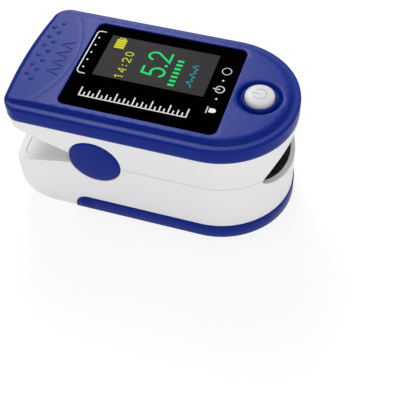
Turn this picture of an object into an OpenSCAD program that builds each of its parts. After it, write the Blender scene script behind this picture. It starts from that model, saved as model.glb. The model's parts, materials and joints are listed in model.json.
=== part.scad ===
// Clip-on fingertip meter: two spring-loaded jaws, a window with a screen and one button.
// +X points out of the finger opening, +Z up; the origin is the middle of the footprint.

/* [Body] */
// Width of the body beside the two cells, on each side
side_w = 5.5; // [5.4:0.1:6.2]
// Length of the body in front of the cells' bay
front_room = 10.5; // [9.6:0.1:12]
// Length of the body behind the bay, inside the rear wall
bay_back = 0.7; // [0.5:0.05:1.2]
// Thickness left between the cells' bay and the finger trough
trough_floor = 1; // [0.9:0.05:1.6]
// Height of the pale upper wall above the circuit board
board_sink = 0.1; // [0.05:0.05:0.4]
// Radius of the rounded front end
nose_r = 16; // [15.4:0.1:16.3]
// Radius of the flanks that run into the front end
flank_r = 17.3; // [17.3:0.1:19]
// Radius of the two rear corners, seen from above
corner_r = 3.8; // [3:0.2:4.4]
// Radius of the lower jaw's rear corners, seen from above
tail_r = 2.4; // [2:0.1:3.2]
// Radius of the slightly bowed rear edge
bow_r = 95; // [80:1:200]
// Height of the cover's side wall, up to the ledge
cover_side_h = 3.8; // [3.7:0.05:4.6]
// Height of the plateau above the ledge
riser_h = 0.95; // [0.6:0.05:1.3]
// Width of the ledge, its rounded shoulder included
ledge_w = 1.6; // [1.2:0.1:2]
// Run of the sloping riser between ledge and plateau
riser_run = 0.75; // [0.4:0.05:1]
// Depth of the pale shells behind the coloured covers
shell_inset = 0.3; // [0.2:0.05:0.5]
// Wall of the pale shells
wall = 1.4; // [1.2:0.05:1.5]
// Wall of the top cover
cover_wall = 1.4; // [1.2:0.05:1.5]
// Roof thickness of the top cover under the plateau
roof_t = 1.8; // [1.6:0.1:2]
// Gap between the jaws along the parting line
parting_gap = 0.15; // [0.1:0.05:0.3]

/* [Thumb rest] */
// Radius of the arc at which the thumb rest begins
dish_r = 24.5; // [22:0.5:30]
// Distance from the rear edge to that arc on the centre line
dish_len = 12.5; // [11.6:0.1:12.6]
// Radius of the hollowed surface
dish_sphere_r = 300; // [240:10:500]
// Radius of one grip bump at its foot
bump_r = 0.75; // [0.6:0.05:0.9]
// Height of one grip bump
bump_h = 0.32; // [0.2:0.02:0.45]
// Spacing of the grip bumps along a row
bump_pitch = 3.1; // [2.8:0.1:3.3]
// Distance between the two rows of bumps
bump_row = 1.55; // [1.4:0.05:1.8]
// Distance from the rear edge to the first row
bump_back = 2.4; // [2.2:0.1:3]

/* [Window and screen] */
// Gap between the window plate and the round recess in front of it
window_gap = 1.1; // [0.6:0.05:1.8]
// Width of the window plate
window_w = 25.6; // [24:0.2:26.4]
// Corner radius of the window plate
window_r = 1.5; // [1:0.1:2.5]
// Thickness of the window plate
window_t = 1; // [0.8:0.1:1.2]
// Distance from the rear edge of the body to the window plate
window_back = 12.7; // [12.2:0.1:13]
// Length of the screen's glass
screen_len = 27.4; // [25:0.2:28]
// Width of the screen's glass
screen_w = 15.4; // [14:0.2:16]
// Thickness of the screen module
screen_t = 1.7; // [1.4:0.1:1.8]
// Distance from the window's rear edge to the screen's glass
screen_back = 3.2; // [2.4:0.1:4]
// Sideways offset of the screen from the centre line
screen_side = 3.2; // [2:0.1:3.4]

/* [Button] */
// Diameter of the button's top
button_d = 6.4; // [6:0.1:7]
// Height of the button above the plateau
button_rise = 1.1; // [0.8:0.05:1.3]
// Distance from the button's axis to the front end
button_front = 8.5; // [8.2:0.1:9.2]
// Diameter of the round recess about the button
moat_d = 9.7; // [9.2:0.1:10.4]
// Depth of that recess
moat_h = 0.95; // [0.6:0.05:1.1]
// Height of the low collar that stands in the recess, round the button
collar_h = 0.7; // [0.4:0.05:0.85]
// Width of that collar
collar_w = 0.5; // [0.3:0.05:0.6]
// Travel of the button
button_travel = 0.4; // [0.25:0.05:0.45]
// Gap round the button in its hole
button_gap = 0.12; // [0.1:0.02:0.2]

/* [Finger channel] */
// Width of the channel at the parting line
channel_w = 21.6; // [20:0.2:22]
// Height of the channel's arch above the parting line
arch_h = 6.2; // [6:0.1:6.6]
// Depth of the channel's trough below the parting line
trough_h = 3.6; // [3.4:0.1:3.9]
// Depth that a finger can go in, from the front end
channel_len = 33.6; // [32:0.2:35]
// Thickness of the silicone pads
pad_t = 0.9; // [0.7:0.05:1.1]
// Thickness of the vault above the channel
vault_t = 1.2; // [1:0.05:1.3]
// Run of the bevel round the scooped front edge, in from the outside
lip_run = 1; // [0.8:0.05:1.1]
// Depth of that bevel
lip_h = 0.7; // [0.5:0.05:0.9]
// Side of the square sensor window in the pads
sensor_w = 4.6; // [4:0.2:5]
// Distance from the front end to the sensor window
sensor_front = 22.4; // [20:0.2:24]

/* [Hinge] */
// Distance from the rear edge to the hinge axis
pivot_back = 20.9; // [20.5:0.1:21.6]
// Height of the hinge axis above the parting line
pivot_rise = 0.6; // [0.5:0.05:1]
// Diameter of the round side caps
cap_d = 11.7; // [11:0.1:12.2]
// Thickness of the side caps
cap_t = 1.2; // [1:0.05:1.3]
// Gap round the side caps
cap_gap = 0.2; // [0.1:0.05:0.3]
// Diameter of the hinge pins
pin_d = 2.4; // [2:0.1:2.8]
// Radial clearance of a pin in the ear that turns on it
pin_run_gap = 0.05; // [0.03:0.01:0.08]
// Thickness of each hinge ear
ear_t = 1.4; // [1.2:0.05:1.5]
// Radius of the rounded hinge ears
ear_r = 3.2; // [2.8:0.1:3.4]
// Gap between neighbouring ears
ear_gap = 0.3; // [0.2:0.05:0.35]
// Opening angle of the jaws
jaw_open = 24; // [18:1:25]
// Downward slope of the lower jaw behind the hinge
lower_slope = 13; // [12:0.5:15]
// Upward slope of the upper jaw just behind the hinge
upper_slope = 14; // [13:0.5:16]
// Radius that steepens that slope towards the rear
upper_slope_r = 100; // [80:5:160]
// Wire diameter of the torsion springs
spring_wire = 0.8; // [0.6:0.05:0.9]
// Turns of the torsion springs
spring_turns = 4; // [3:1:4]

/* [Batteries] */
// Diameter of one AAA cell
cell_d = 10.5; // [10.3:0.1:10.5]
// Length of one AAA cell, its nub included
cell_len = 44.5; // [43.8:0.1:44.6]
// Gap between the two cells
cell_gap = 0.5; // [0.3:0.1:0.6]
// Height of the coloured band of the battery cover
band_h = 3.8; // [3.5:0.1:4.2]
// Thickness of the battery cover
band_t = 1.2; // [1:0.05:1.25]
// Distance from the rear edge to the tip of the band
band_back = 14.6; // [14:0.1:15.4]
// Radius of the band's rounded rear end
band_tip_r = 3.2; // [2.8:0.1:3.4]
// Room for a contact at each end of a cell
contact_room = 2.1; // [1.9:0.05:2.3]
// Sheet thickness of the contacts
contact_t = 0.4; // [0.3:0.05:0.5]
// Radius of the lower jaw's rounded heel, seen from the side
heel_r = 5; // [4:0.25:6]

/* [Electronics] */
// Side of the square main chip
chip_w = 7; // [5:0.5:8]
// Thickness of the main chip
chip_t = 1; // [0.6:0.1:1.2]
// Gap between the chip and the screen's bracket
chip_gap = 0.4; // [0.3:0.05:0.6]
// Gap between the edge of the circuit board and the pale wall
board_margin = 1.3; // [1.1:0.1:1.8]
// Length of the light source's board
emitter_len = 8.8; // [7:0.2:10]
// Width of the light source's board
emitter_w = 4.2; // [3.6:0.1:4.6]
// Length of the light source
led_len = 3.2; // [2.6:0.1:3.4]
// Width of the light source
led_w = 2.6; // [2:0.1:2.8]
// Distance of the rear screws from the body's rear edge and sides
screw_corner = 5.6; // [5.2:0.1:6.4]
// Distance of the front screws in front of the hinge
screw_ahead = 16.4; // [15:0.2:18]
// Radius of the leads
lead_r = 0.55; // [0.4:0.05:0.6]
// Thickness of the circuit board
board_t = 1; // [0.8:0.1:1]
// Gap between the vault and the circuit board
board_gap = 0.4; // [0.3:0.05:0.5]
// Side of the square push switch under the button
switch_w = 6; // [5:0.2:6.2]
// Shank diameter of the screws
screw_d = 1.7; // [1.5:0.1:2]
// Head diameter of the screws
screw_head_d = 3; // [2.8:0.1:3.2]
// Head thickness of the screws
screw_head_t = 1; // [0.8:0.1:1.2]

/* [Hidden] */
$fn = 64;

blue = [0.13, 0.20, 0.58];
pale = [0.88, 0.88, 0.88];
frame_grey = [0.80, 0.80, 0.81];
pad_black = [0.06, 0.06, 0.06];
steel = [0.72, 0.72, 0.74];

fit = 0.1;                        // usual gap between two pieces that are put together
eps = 0.01;                       // cuts run this far past the face that they open

// Batteries across and upwards; these give the body its width and height
cover_floor = band_t;
cell_z = cover_floor + 2 * fit + cell_d / 2;
cell_y = (cell_d + cell_gap) / 2;
bay_z = cell_z + cell_d / 2 + fit;
bay_y = cell_y + cell_d / 2 + 2.5 * fit;

// Overall sizes
shell_in = shell_inset + wall;    // inner face of the pale shells
body_w = 2 * (bay_y + side_w);
body_len = shell_in + bay_back + cell_len + 2 * contact_room + front_room;
far = body_len;                   // longer than any cut needs to be

// Heights
parting_z = bay_z + trough_floor + trough_h;
upper_h = arch_h + vault_t + board_gap + board_t + board_sink;
cover_z = parting_z + upper_h;
ledge_z = cover_z + cover_side_h;
top_z = ledge_z + riser_h;
roof_z = top_z - roof_t;

// Outline, seen from above
rear_x = -body_len / 2;
nose_x = body_len / 2 - nose_r;
flank_off = flank_r - body_w / 2;
flank_x = nose_x - sqrt(pow(flank_r - nose_r, 2) - pow(flank_off, 2));
nose_a = atan2(flank_off, nose_x - flank_x);
least_corner_r = 1.6;
nose_steps = 14;
flank_steps = 6;
corner_steps = 6;
bow_steps = 4;

// Hinge
pivot_x = rear_x + pivot_back;
pivot_z = parting_z + pivot_rise;
wall_y = body_w / 2 - shell_in;   // inner face of the side walls
lower_ear_y = wall_y - fit - ear_t;
upper_ear_y = lower_ear_y - ear_gap - ear_t;
pocket_r = ear_r * 2.05;          // half length of the pocket that the ears swing in
pin_in_y = 6.9;                   // inner end of a pin
pin_end_y = body_w / 2 - cap_t + 0.7;
coil_r = pin_d / 2 + spring_wire / 2 + 0.7;
apex_low = 0.4;                   // the lower slope starts this far under the axis
apex_up = 0.2;                    // and the upper slope this far under it

// Finger channel
stop_x = body_len / 2 - channel_len;
arch_r = (pow(channel_w / 2, 2) + pow(arch_h, 2)) / (2 * arch_h);
arch_z = parting_z + arch_h - arch_r;
sensor_x = body_len / 2 - sensor_front;
trough_z = parting_z - trough_h;

// Batteries
bay_x0 = rear_x + shell_in + bay_back;
bay_x1 = bay_x0 + cell_len + 2 * contact_room;
nub_d = 3.8;
nub_h = 1.2;
band_x = rear_x + band_back;
rail_h = 0.8;
rail_z = band_h * 0.62;
rail_x0 = band_x + band_tip_r + 0.4;
rail_x1 = flank_x - nose_r / 5;

// Electronics
vault_z = arch_z + arch_r + vault_t;
board_z = vault_z + board_gap;
board_top = board_z + board_t;
button_x = body_len / 2 - button_front;
button_flange_d = button_d + 1.5;
window_x = rear_x + window_back;
window_len = button_x - moat_d / 2 - window_gap - window_x;
screen_x = window_x + screen_back;
screen_y = screen_side - screen_w / 2;
lens_z = top_z - window_t;
screen_z = lens_z - fit / 2 - screen_t;
moat_z = top_z - moat_h;
button_roof = moat_z - 1.1;       // underside of the thick ring about the button
flange_t = 0.6;
flange_z = button_roof - fit - flange_t;
switch_h = 1.6;
plunger_r = 1.6;
plunger_top = flange_z - fit;
screw_r = screw_d / 2;

// Screws of the upper jaw come up from below; those of the lower jaw sit in deep bores.
upper_screw_rear = [rear_x + screw_corner, body_w / 2 - screw_corner];
upper_screw_front = [pivot_x + screw_ahead, wall_y - screw_head_d / 2];
lower_screw_rear = [stop_x + 1.5, wall_y - fit - screw_head_d / 2];
lower_screw_front = [flank_x + 2, wall_y - fit - screw_head_d / 2 - 0.6];
lower_head_z = bay_z - 4.6;
lower_screw_len = 6.8;

// ---- outline of the body, inset all round, and by a further "back" at the rear;
// "corner" is the radius of the rear corners at the outside ----
function arc(cx, cy, r, a0, a1, steps, first, last) =
    [for (i = [first:last]) let (a = a0 + (a1 - a0) * i / steps) [cx + r * cos(a), cy + r * sin(a)]];

function dee(inset = 0, back = 0, corner = corner_r) =
    let (
        half_w = body_w / 2 - inset,
        xr = rear_x + inset + back,
        cr = max(corner - inset, least_corner_r),
        half_bow = half_w - cr,
        cx = xr + pow(half_bow, 2) / (2 * bow_r) + cr,
        fr = flank_r - inset,
        nr = nose_r - inset)
    concat(
        arc(nose_x, 0, nr, -nose_a, nose_a, nose_steps, 0, nose_steps),
        arc(flank_x, -flank_off, fr, nose_a, 90, flank_steps, 1, flank_steps),
        arc(cx, half_bow, cr, 90, 180, corner_steps, 0, corner_steps),
        [for (i = [1:bow_steps - 1]) let (y = half_bow * (1 - 2 * i / bow_steps))
            [xr + y * y / (2 * bow_r), y]],
        arc(cx, -half_bow, cr, 180, 270, corner_steps, 0, corner_steps),
        arc(flank_x, flank_off, fr, 270, 360 - nose_a, flank_steps, 0, flank_steps - 1));

// x of the rounded front at a given y, for the same outline
function front_x(y, inset) =
    abs(y) < (nose_r - inset) * sin(nose_a)
        ? nose_x + sqrt(pow(nose_r - inset, 2) - y * y)
        : flank_x + sqrt(pow(flank_r - inset, 2) - pow(abs(y) + flank_off, 2));

module slab(inset, z0, z1, back = 0, corner = corner_r) {
    translate([0, 0, z0]) linear_extrude(z1 - z0) polygon(dee(inset, back, corner));
}

// The lower jaw reaches back as far as the cover, with tighter corners.
module tail_slab(z0, z1) {
    slab(shell_inset, z0, z1, -shell_inset, tail_r);
}

// Closed skin through rings of the outline; each level is [z, inset, back].
module loft(levels) {
    rings = [for (l = levels) [for (p = dee(l[1], l[2])) [p[0], p[1], l[0]]]];
    n = len(rings[0]);
    top = (len(levels) - 1) * n;
    sides = [for (k = [0:len(levels) - 2], i = [0:n - 1])
        let (a = k * n + i, b = k * n + (i + 1) % n) each [[a, a + n, b + n], [a, b + n, b]]];
    polyhedron(
        points = [for (r = rings) each r],
        faces = concat([[for (i = [0:n - 1]) i]], [[for (i = [n - 1:-1:0]) top + i]], sides),
        convexity = 6);
}

// ---- side profiles of the jaws, drawn in X and Z and pushed through the width ----
module across(y0, y1) {
    translate([0, y1, 0]) rotate([90, 0, 0]) linear_extrude(y1 - y0) children();
}

module both_sides() {
    children();
    mirror([0, 1, 0]) children();
}

function low_slope_z(x) = min(parting_z, pivot_z - apex_low - (pivot_x - x) * tan(lower_slope));
function up_slope_z(x) = let (s = pivot_x - x)
    max(parting_z + parting_gap,
        pivot_z - apex_up + s * tan(upper_slope) + (s > 0 ? s * s / (2 * upper_slope_r) : 0));

// Everything above the upper jaw's sloping underside, raised by "up"
module above_slope(up = 0) {
    steps = 16;
    x1 = pivot_x + 4;
    across(-far, far) polygon(concat(
        [[far, far], [far, parting_z + parting_gap + up]],
        [for (i = [0:steps]) let (x = x1 + (rear_x - 2 - x1) * i / steps) [x, up_slope_z(x) + up]],
        [[rear_x - 2, far]]));
}

// Everything below the lower jaw's top, lowered by "down"; the heel is rounded.
module below_slope(down = 0) {
    foot_x = rear_x;
    x_kink = pivot_x - (pivot_rise - apex_low) / tan(lower_slope);
    across(-far, far) polygon(concat(
        [[far, 0], [far, parting_z - down], [x_kink, parting_z - down]],
        [[foot_x - 1, low_slope_z(foot_x - 1) - down], [foot_x - 1, heel_r], [foot_x, heel_r]],
        [for (i = [1:8]) let (a = 90 * i / 8)
            [foot_x + heel_r * (1 - cos(a)), heel_r * (1 - sin(a))]]));
}

// Rear end of the battery cover's band: everything in front of its rounded tip
module ahead_of_tip(gap = 0) {
    r = band_tip_r;
    across(-far, far) polygon(concat(
        [[far, -1], [band_x - gap, -1]],
        [for (i = [0:10]) let (a = 180 - 9 * i)
            [band_x + r + (r + gap) * cos(a), band_h - r + (r + gap) * sin(a)]],
        [[far, band_h + gap]]));
}

// ---- round and elliptic cuts along the finger channel ----
module along_x(r, x0, x1, y, z) {
    translate([x0, y, z]) rotate([0, 90, 0]) cylinder(r = r, h = x1 - x0);
}

module pin_shape(r, y0, y1) {
    translate([pivot_x, y0, pivot_z]) rotate([-90, 0, 0]) cylinder(r = r, h = y1 - y0);
}

module trough(half_w, depth, x0, x1) {
    translate([x0, 0, parting_z]) rotate([90, 0, 90]) linear_extrude(x1 - x0)
        polygon(concat([for (i = [0:32]) let (a = 180 + 180 * i / 32) [half_w * cos(a), depth * sin(a)]],
            [[half_w, 4], [-half_w, 4]]));
}

// Bevel from the outside of the front wall in to the trough's edge
module scoop_bevel() {
    steps = 24;
    w = channel_w / 2;
    high = parting_z + 1;
    row = [for (i = [0:steps]) let (
            a = 180 * i / steps,
            yo = w * cos(a) * 1.002,
            yi = (w - 0.75 * lip_h) * cos(a),
            xo = front_x(yo, shell_inset) + eps,
            xi = front_x(yi, shell_inset + lip_run))
        [[xo, yo, parting_z - trough_h * sin(a)],
         [xi, yi, parting_z - (trough_h - lip_h) * sin(a)],
         [xo, yo, high],
         [xi, yi, high]]];
    n = 4;
    strip = [[0, 1], [1, 3], [3, 2], [2, 0]];
    polyhedron(
        points = [for (r = row) each r],
        faces = concat(
            [[2, 3, 1, 0]], [[steps * n, steps * n + 1, steps * n + 3, steps * n + 2]],
            [for (i = [0:steps - 1], s = strip) let (a = i * n + s[0], b = i * n + s[1])
                each [[a, b + n, a + n], [a, b, b + n]]]),
        convexity = 4);
}

// Rectangle with rounded corners
module plate(x0, y0, len, w, r, z0, z1) {
    corner = [[len - r, w - r, 0], [r, w - r, 90], [r, r, 180], [len - r, r, 270]];
    translate([x0, y0, z0]) linear_extrude(z1 - z0)
        polygon([for (c = corner, i = [0:5]) let (a = c[2] + 18 * i)
            [c[0] + r * cos(a), c[1] + r * sin(a)]]);
}

// Round wire along a path; "ref" is a direction that the path never follows.
module wire(path, r, ref, sides = 6) {
    last = len(path) - 1;
    rings = [for (i = [0:last]) let (
            d = path[min(i + 1, last)] - path[max(i - 1, 0)],
            t = d / norm(d),
            u = cross(t, ref) / norm(cross(t, ref)),
            v = cross(t, u))
        [for (k = [0:sides - 1]) let (a = 360 * k / sides) path[i] + r * (cos(a) * u + sin(a) * v)]];
    skin = [for (i = [0:last - 1], k = [0:sides - 1]) let (
            a = i * sides + k,
            b = i * sides + (k + 1) % sides)
        each [[a, b + sides, b], [a, a + sides, b + sides]]];
    polyhedron(
        points = [for (q = rings) each q],
        faces = concat(
            [[for (k = [0:sides - 1]) k]], [[for (k = [sides - 1:-1:0]) last * sides + k]], skin),
        convexity = 10);
}

// ---- upper jaw ----
function dish_drop(x, y) =
    let (q = pow(x - (rear_x + dish_len - dish_r), 2) + y * y)
    sqrt(pow(dish_sphere_r, 2) - q) - sqrt(pow(dish_sphere_r, 2) - dish_r * dish_r);

module bump(x, y) {
    r = (bump_r * bump_r + bump_h * bump_h) / (2 * bump_h);
    z = top_z - dish_drop(x, y);
    intersection() {
        translate([x, y, z + bump_h - r]) sphere(r = r, $fn = 32);
        translate([x - r, y - r, z - 0.3]) cube([2 * r, 2 * r, 1]);
    }
}

module cover_skin() {
    shoulder = 0.55;
    rear = shoulder * 0.9;        // the plateau comes this close to the rear edge
    loft([
        [cover_z, 0, 0],
        [ledge_z - shoulder, 0, 0],
        [ledge_z - shoulder * 0.38, shoulder * 0.18, 0],
        [ledge_z - shoulder * 0.08, shoulder * 0.55, 0],
        [ledge_z, shoulder, rear * 0.7 - shoulder],
        [ledge_z, ledge_w, rear * 0.8 - ledge_w],
        [ledge_z + riser_h * 0.22, ledge_w + riser_run * 0.14, rear * 0.9 - ledge_w - riser_run * 0.14],
        [ledge_z + riser_h * 0.62, ledge_w + riser_run * 0.4, rear * 1.1 - ledge_w - riser_run * 0.4],
        [ledge_z + riser_h * 0.9, ledge_w + riser_run * 0.72, rear * 1.4 - ledge_w - riser_run * 0.72],
        [top_z, ledge_w + riser_run, rear * 2 - ledge_w - riser_run]]);
}

// Section of the recess about the button, with the low collar left standing
module moat_profile() {
    collar_r = button_d / 2 + button_gap + collar_w;
    rim_run = 0.6;
    polygon([
        [0, collar_h], [collar_r - 0.1, collar_h], [collar_r + 0.15, 0], [moat_d / 2 - rim_run, 0],
        [moat_d / 2, moat_h], [moat_d / 2, moat_h + 1], [0, moat_h + 1]]);
}

module top_cover() {
    boss_r = screw_r + 1;
    open_w = 0.8;
    color(blue) {
        difference() {
            cover_skin();
            translate([rear_x + dish_len - dish_r, 0,
                    top_z + sqrt(pow(dish_sphere_r, 2) - pow(dish_r, 2))])
                sphere(r = dish_sphere_r, $fn = 180);
            difference() {
                slab(cover_wall, cover_z - 1, roof_z);
                translate([button_x, 0, button_roof]) cylinder(d = moat_d + 2, h = far);
                both_sides() {
                    translate([upper_screw_rear[0], upper_screw_rear[1], board_top + fit])
                        cylinder(r = boss_r, h = far);
                    translate([upper_screw_front[0], upper_screw_front[1], board_top + fit])
                        cylinder(r = boss_r, h = far);
                }
            }
            plate(window_x - fit, -window_w / 2 - fit, window_len + 2 * fit, window_w + 2 * fit,
                window_r + fit, lens_z - fit / 2, top_z + 1);
            translate([screen_x - open_w, screen_y - open_w, cover_z])
                cube([screen_len + 2 * open_w, screen_w + 2 * open_w, riser_h + cover_side_h]);
            translate([button_x, 0, cover_z]) cylinder(r = button_d / 2 + button_gap, h = far);
            translate([button_x, 0, moat_z]) rotate_extrude($fn = 96) moat_profile();
            both_sides() {
                translate([upper_screw_rear[0], upper_screw_rear[1], cover_z - 1])
                    cylinder(r = screw_r, h = roof_z - cover_z + 0.4);
                translate([upper_screw_front[0], upper_screw_front[1], cover_z - 1])
                    cylinder(r = screw_r, h = roof_z - cover_z + 0.4);
            }
        }
        for (i = [0:5]) bump(rear_x + bump_back, (i - 2.5) * bump_pitch);
        for (i = [0:6]) bump(rear_x + bump_back + bump_row, (i - 3) * bump_pitch);
    }
}

module display_lens() {
    color([0.02, 0.02, 0.02])
        plate(window_x, -window_w / 2, window_len, window_w, window_r, lens_z, top_z - 0.05);
}

module display_module() {
    color([0.2, 0.2, 0.21]) translate([screen_x, screen_y, screen_z])
        cube([screen_len, screen_w, screen_t]);
}

module display_bracket() {
    rim = 1.2;
    color([0.9, 0.9, 0.86]) difference() {
        translate([screen_x, screen_y, board_top])
            cube([screen_len, screen_w, screen_z - board_top]);
        translate([screen_x + rim, screen_y + rim, board_top - eps])
            cube([screen_len - 2 * rim, screen_w - 2 * rim, far]);
    }
}

module main_board() {
    color([0.05, 0.35, 0.18]) difference() {
        slab(shell_in + board_margin, board_z, board_top);
        both_sides() {
            translate([upper_screw_rear[0], upper_screw_rear[1], board_z - 1])
                cylinder(r = screw_r + 1.2, h = 4);
            translate([upper_screw_front[0], upper_screw_front[1], board_z - 1])
                cylinder(r = screw_r + 1.2, h = 4);
        }
    }
}

module controller_chip() {
    color([0.08, 0.08, 0.08])
        translate([screen_x + chip_gap, screen_y - chip_w - chip_gap, board_top])
            cube([chip_w, chip_w, chip_t]);
}

module tact_switch() {
    color([0.15, 0.15, 0.15]) difference() {
        translate([button_x - switch_w / 2, -switch_w / 2, board_top])
            cube([switch_w, switch_w, switch_h]);
        translate([button_x, 0, board_top + 0.5]) cylinder(r = plunger_r + fit, h = switch_h);
    }
}

module switch_plunger() {
    foot = board_top + 0.5 + button_travel + 2 * fit;
    color([0.75, 0.15, 0.12]) translate([button_x, 0, foot])
        cylinder(r = plunger_r, h = plunger_top - foot);
}

module power_button() {
    r = button_d / 2;
    edge = 0.35;
    dome = 0.18;
    z1 = top_z + button_rise;
    color([0.95, 0.95, 0.94]) translate([button_x, 0, 0]) rotate_extrude($fn = 96)
        polygon([
            [0, plunger_top], [plunger_r, plunger_top], [plunger_r, flange_z],
            [button_flange_d / 2, flange_z], [button_flange_d / 2, flange_z + flange_t],
            [r, flange_z + flange_t], [r, z1 - dome - edge], [r - edge * 0.3, z1 - dome - edge * 0.3],
            [r - edge, z1 - dome], [r * 0.5, z1 - dome * 0.25], [0, z1]]);
}

module photodiode() {
    w = sensor_w - 4 * fit;
    z0 = arch_z + arch_r - pad_t;
    color([0.16, 0.16, 0.18]) translate([sensor_x - w / 2, -w / 2, z0 + 0.3])
        cube([w, w, board_z - z0 - 0.3]);
}

module upper_shell() {
    rib_len = pocket_r + 1.6;
    lip_h = 1.4;
    column_r = screw_head_d / 2 + 0.4;
    rear_seat = up_slope_z(upper_screw_rear[0]) + wall + screw_head_t + 0.3;
    front_seat = board_z - 1;
    color(pale) difference() {
        union() {
            intersection() {
                slab(shell_inset, parting_z, cover_z);
                above_slope();
            }
            difference() {
                slab(cover_wall + fit, cover_z - 1, cover_z + lip_h);
                slab(cover_wall + fit + 1, cover_z - 2, cover_z + lip_h + 1);
                both_sides() {
                    translate([upper_screw_rear[0], upper_screw_rear[1], cover_z - 2])
                        cylinder(r = screw_r + 1.2, h = 6);
                    translate([upper_screw_front[0], upper_screw_front[1], cover_z - 2])
                        cylinder(r = screw_r + 1.2, h = 6);
                }
            }
            both_sides() pin_shape(ear_r, upper_ear_y, upper_ear_y + ear_t);
        }
        // room for the electronics and the hinge, round the vault, the ribs and the columns
        difference() {
            intersection() {
                slab(shell_in, parting_z, cover_z + 1);
                above_slope(vault_t);
            }
            along_x(arch_r + vault_t, stop_x - vault_t, far, 0, arch_z);
            both_sides() {
                translate([pivot_x - rib_len, upper_ear_y, parting_z])
                    cube([2 * rib_len, ear_t, board_z - 2 * fit - parting_z]);
                translate([upper_screw_rear[0], upper_screw_rear[1], parting_z])
                    cylinder(r = column_r, h = board_z - fit - parting_z);
                translate([upper_screw_front[0], upper_screw_front[1], parting_z])
                    cylinder(r = column_r, h = board_z - fit - parting_z);
            }
        }
        // finger channel and the window for the sensor
        along_x(arch_r, stop_x, far, 0, arch_z);
        translate([sensor_x - sensor_w / 2, -sensor_w / 2, parting_z])
            cube([sensor_w, sensor_w, upper_h]);
        // pockets that the ears swing in, either side of each rib
        both_sides() {
            translate([pivot_x - pocket_r, pin_in_y - 0.4, parting_z - 4])
                cube([2 * pocket_r, upper_ear_y - pin_in_y + 0.4, board_z - parting_z + 3]);
            translate([pivot_x - pocket_r, upper_ear_y + ear_t, parting_z - 4])
                cube([2 * pocket_r, wall_y - upper_ear_y - ear_t, board_z - parting_z + 3]);
            pin_shape(pin_d / 2 + pin_run_gap, 0, wall_y);
            pin_shape(cap_d / 2 + cap_gap, wall_y - eps, body_w);
        }
        // way for the leads across the hinge
        translate([pivot_x - 1.8, 0.2, parting_z - 1]) cube([3.6, 6.3, board_z - parting_z]);
        // screw bores
        both_sides() {
            translate([upper_screw_rear[0], upper_screw_rear[1], parting_z])
                cylinder(r = screw_r + fit, h = upper_h + 3);
            translate([upper_screw_rear[0], upper_screw_rear[1], parting_z])
                cylinder(r = screw_head_d / 2 + fit, h = rear_seat - parting_z);
            translate([upper_screw_front[0], upper_screw_front[1], parting_z - 1])
                cylinder(r = screw_r + fit, h = upper_h + 3);
            translate([upper_screw_front[0], upper_screw_front[1], parting_z - 1])
                cylinder(r = screw_head_d / 2 + fit, h = front_seat - parting_z + 1);
        }
    }
}

// One screw, its head down at z
module screw(at, z, len) {
    translate([at[0], at[1], z - screw_head_t]) rotate_extrude($fn = 32) polygon([
        [0, 0.35], [screw_head_d * 0.16, 0.35], [screw_head_d * 0.16, 0], [screw_head_d / 2 - 0.3, 0],
        [screw_head_d / 2, 0.4], [screw_head_d / 2, screw_head_t], [screw_r, screw_head_t],
        [screw_r, screw_head_t + len - 0.8], [0, screw_head_t + len]]);
}

module upper_screws() {
    rear_seat = up_slope_z(upper_screw_rear[0]) + wall + screw_head_t + 0.3;
    front_seat = board_z - 1;
    color(steel) both_sides() {
        screw(upper_screw_rear, rear_seat, roof_z - rear_seat - 0.8);
        screw(upper_screw_front, front_seat, roof_z - front_seat - 0.8);
    }
}

module upper_finger_pad() {
    w = arch_r - fit / 2;
    color(pad_black) difference() {
        intersection() {
            along_x(w, stop_x + fit, far, 0, arch_z);
            slab(shell_in + fit, parting_z + parting_gap + 0.15, cover_z);
        }
        intersection() {
            along_x(w - pad_t, stop_x + fit + pad_t, far, 0, arch_z);
            slab(0, parting_z - 1, cover_z);
        }
        translate([sensor_x - sensor_w / 2, -sensor_w / 2, parting_z])
            cube([sensor_w, sensor_w, upper_h]);
    }
}

lead_y = 3.9;                     // the leads of the two jaws meet here, on the hinge axis

module upper_leads() {
    top = board_z;
    color([0.75, 0.1, 0.1]) wire([
        [pivot_x, lead_y, pivot_z],
        [pivot_x, lead_y + 1.5 * lead_r, pivot_z],
        [pivot_x, lead_y + 2.7 * lead_r, pivot_z + 0.6 * lead_r],
        [pivot_x, lead_y + 3.3 * lead_r, pivot_z + 1.8 * lead_r],
        [pivot_x, lead_y + 3.3 * lead_r, top - 3.6 * lead_r],
        [pivot_x, lead_y + 3.3 * lead_r, top]],
        lead_r, [1, 0, 0]);
}

// ---- lower jaw ----
module lower_leads() {
    low = bay_z - lead_r - 0.15;
    color([0.75, 0.1, 0.1]) wire([
        [sensor_x - emitter_len / 2 - fit, 0, low], [pivot_x + 1.4, 0, low], [pivot_x + 0.4, 0.1, low + 0.4],
        [pivot_x, 0.4, low + 1.4], [pivot_x, 1.2, pivot_z - 2.2], [pivot_x, 1.5, pivot_z - 1],
        [pivot_x, 2.2, pivot_z - 0.2], [pivot_x, 3, pivot_z], [pivot_x, lead_y, pivot_z]],
        lead_r, [0.35, 0.5, -0.35]);
}

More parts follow.
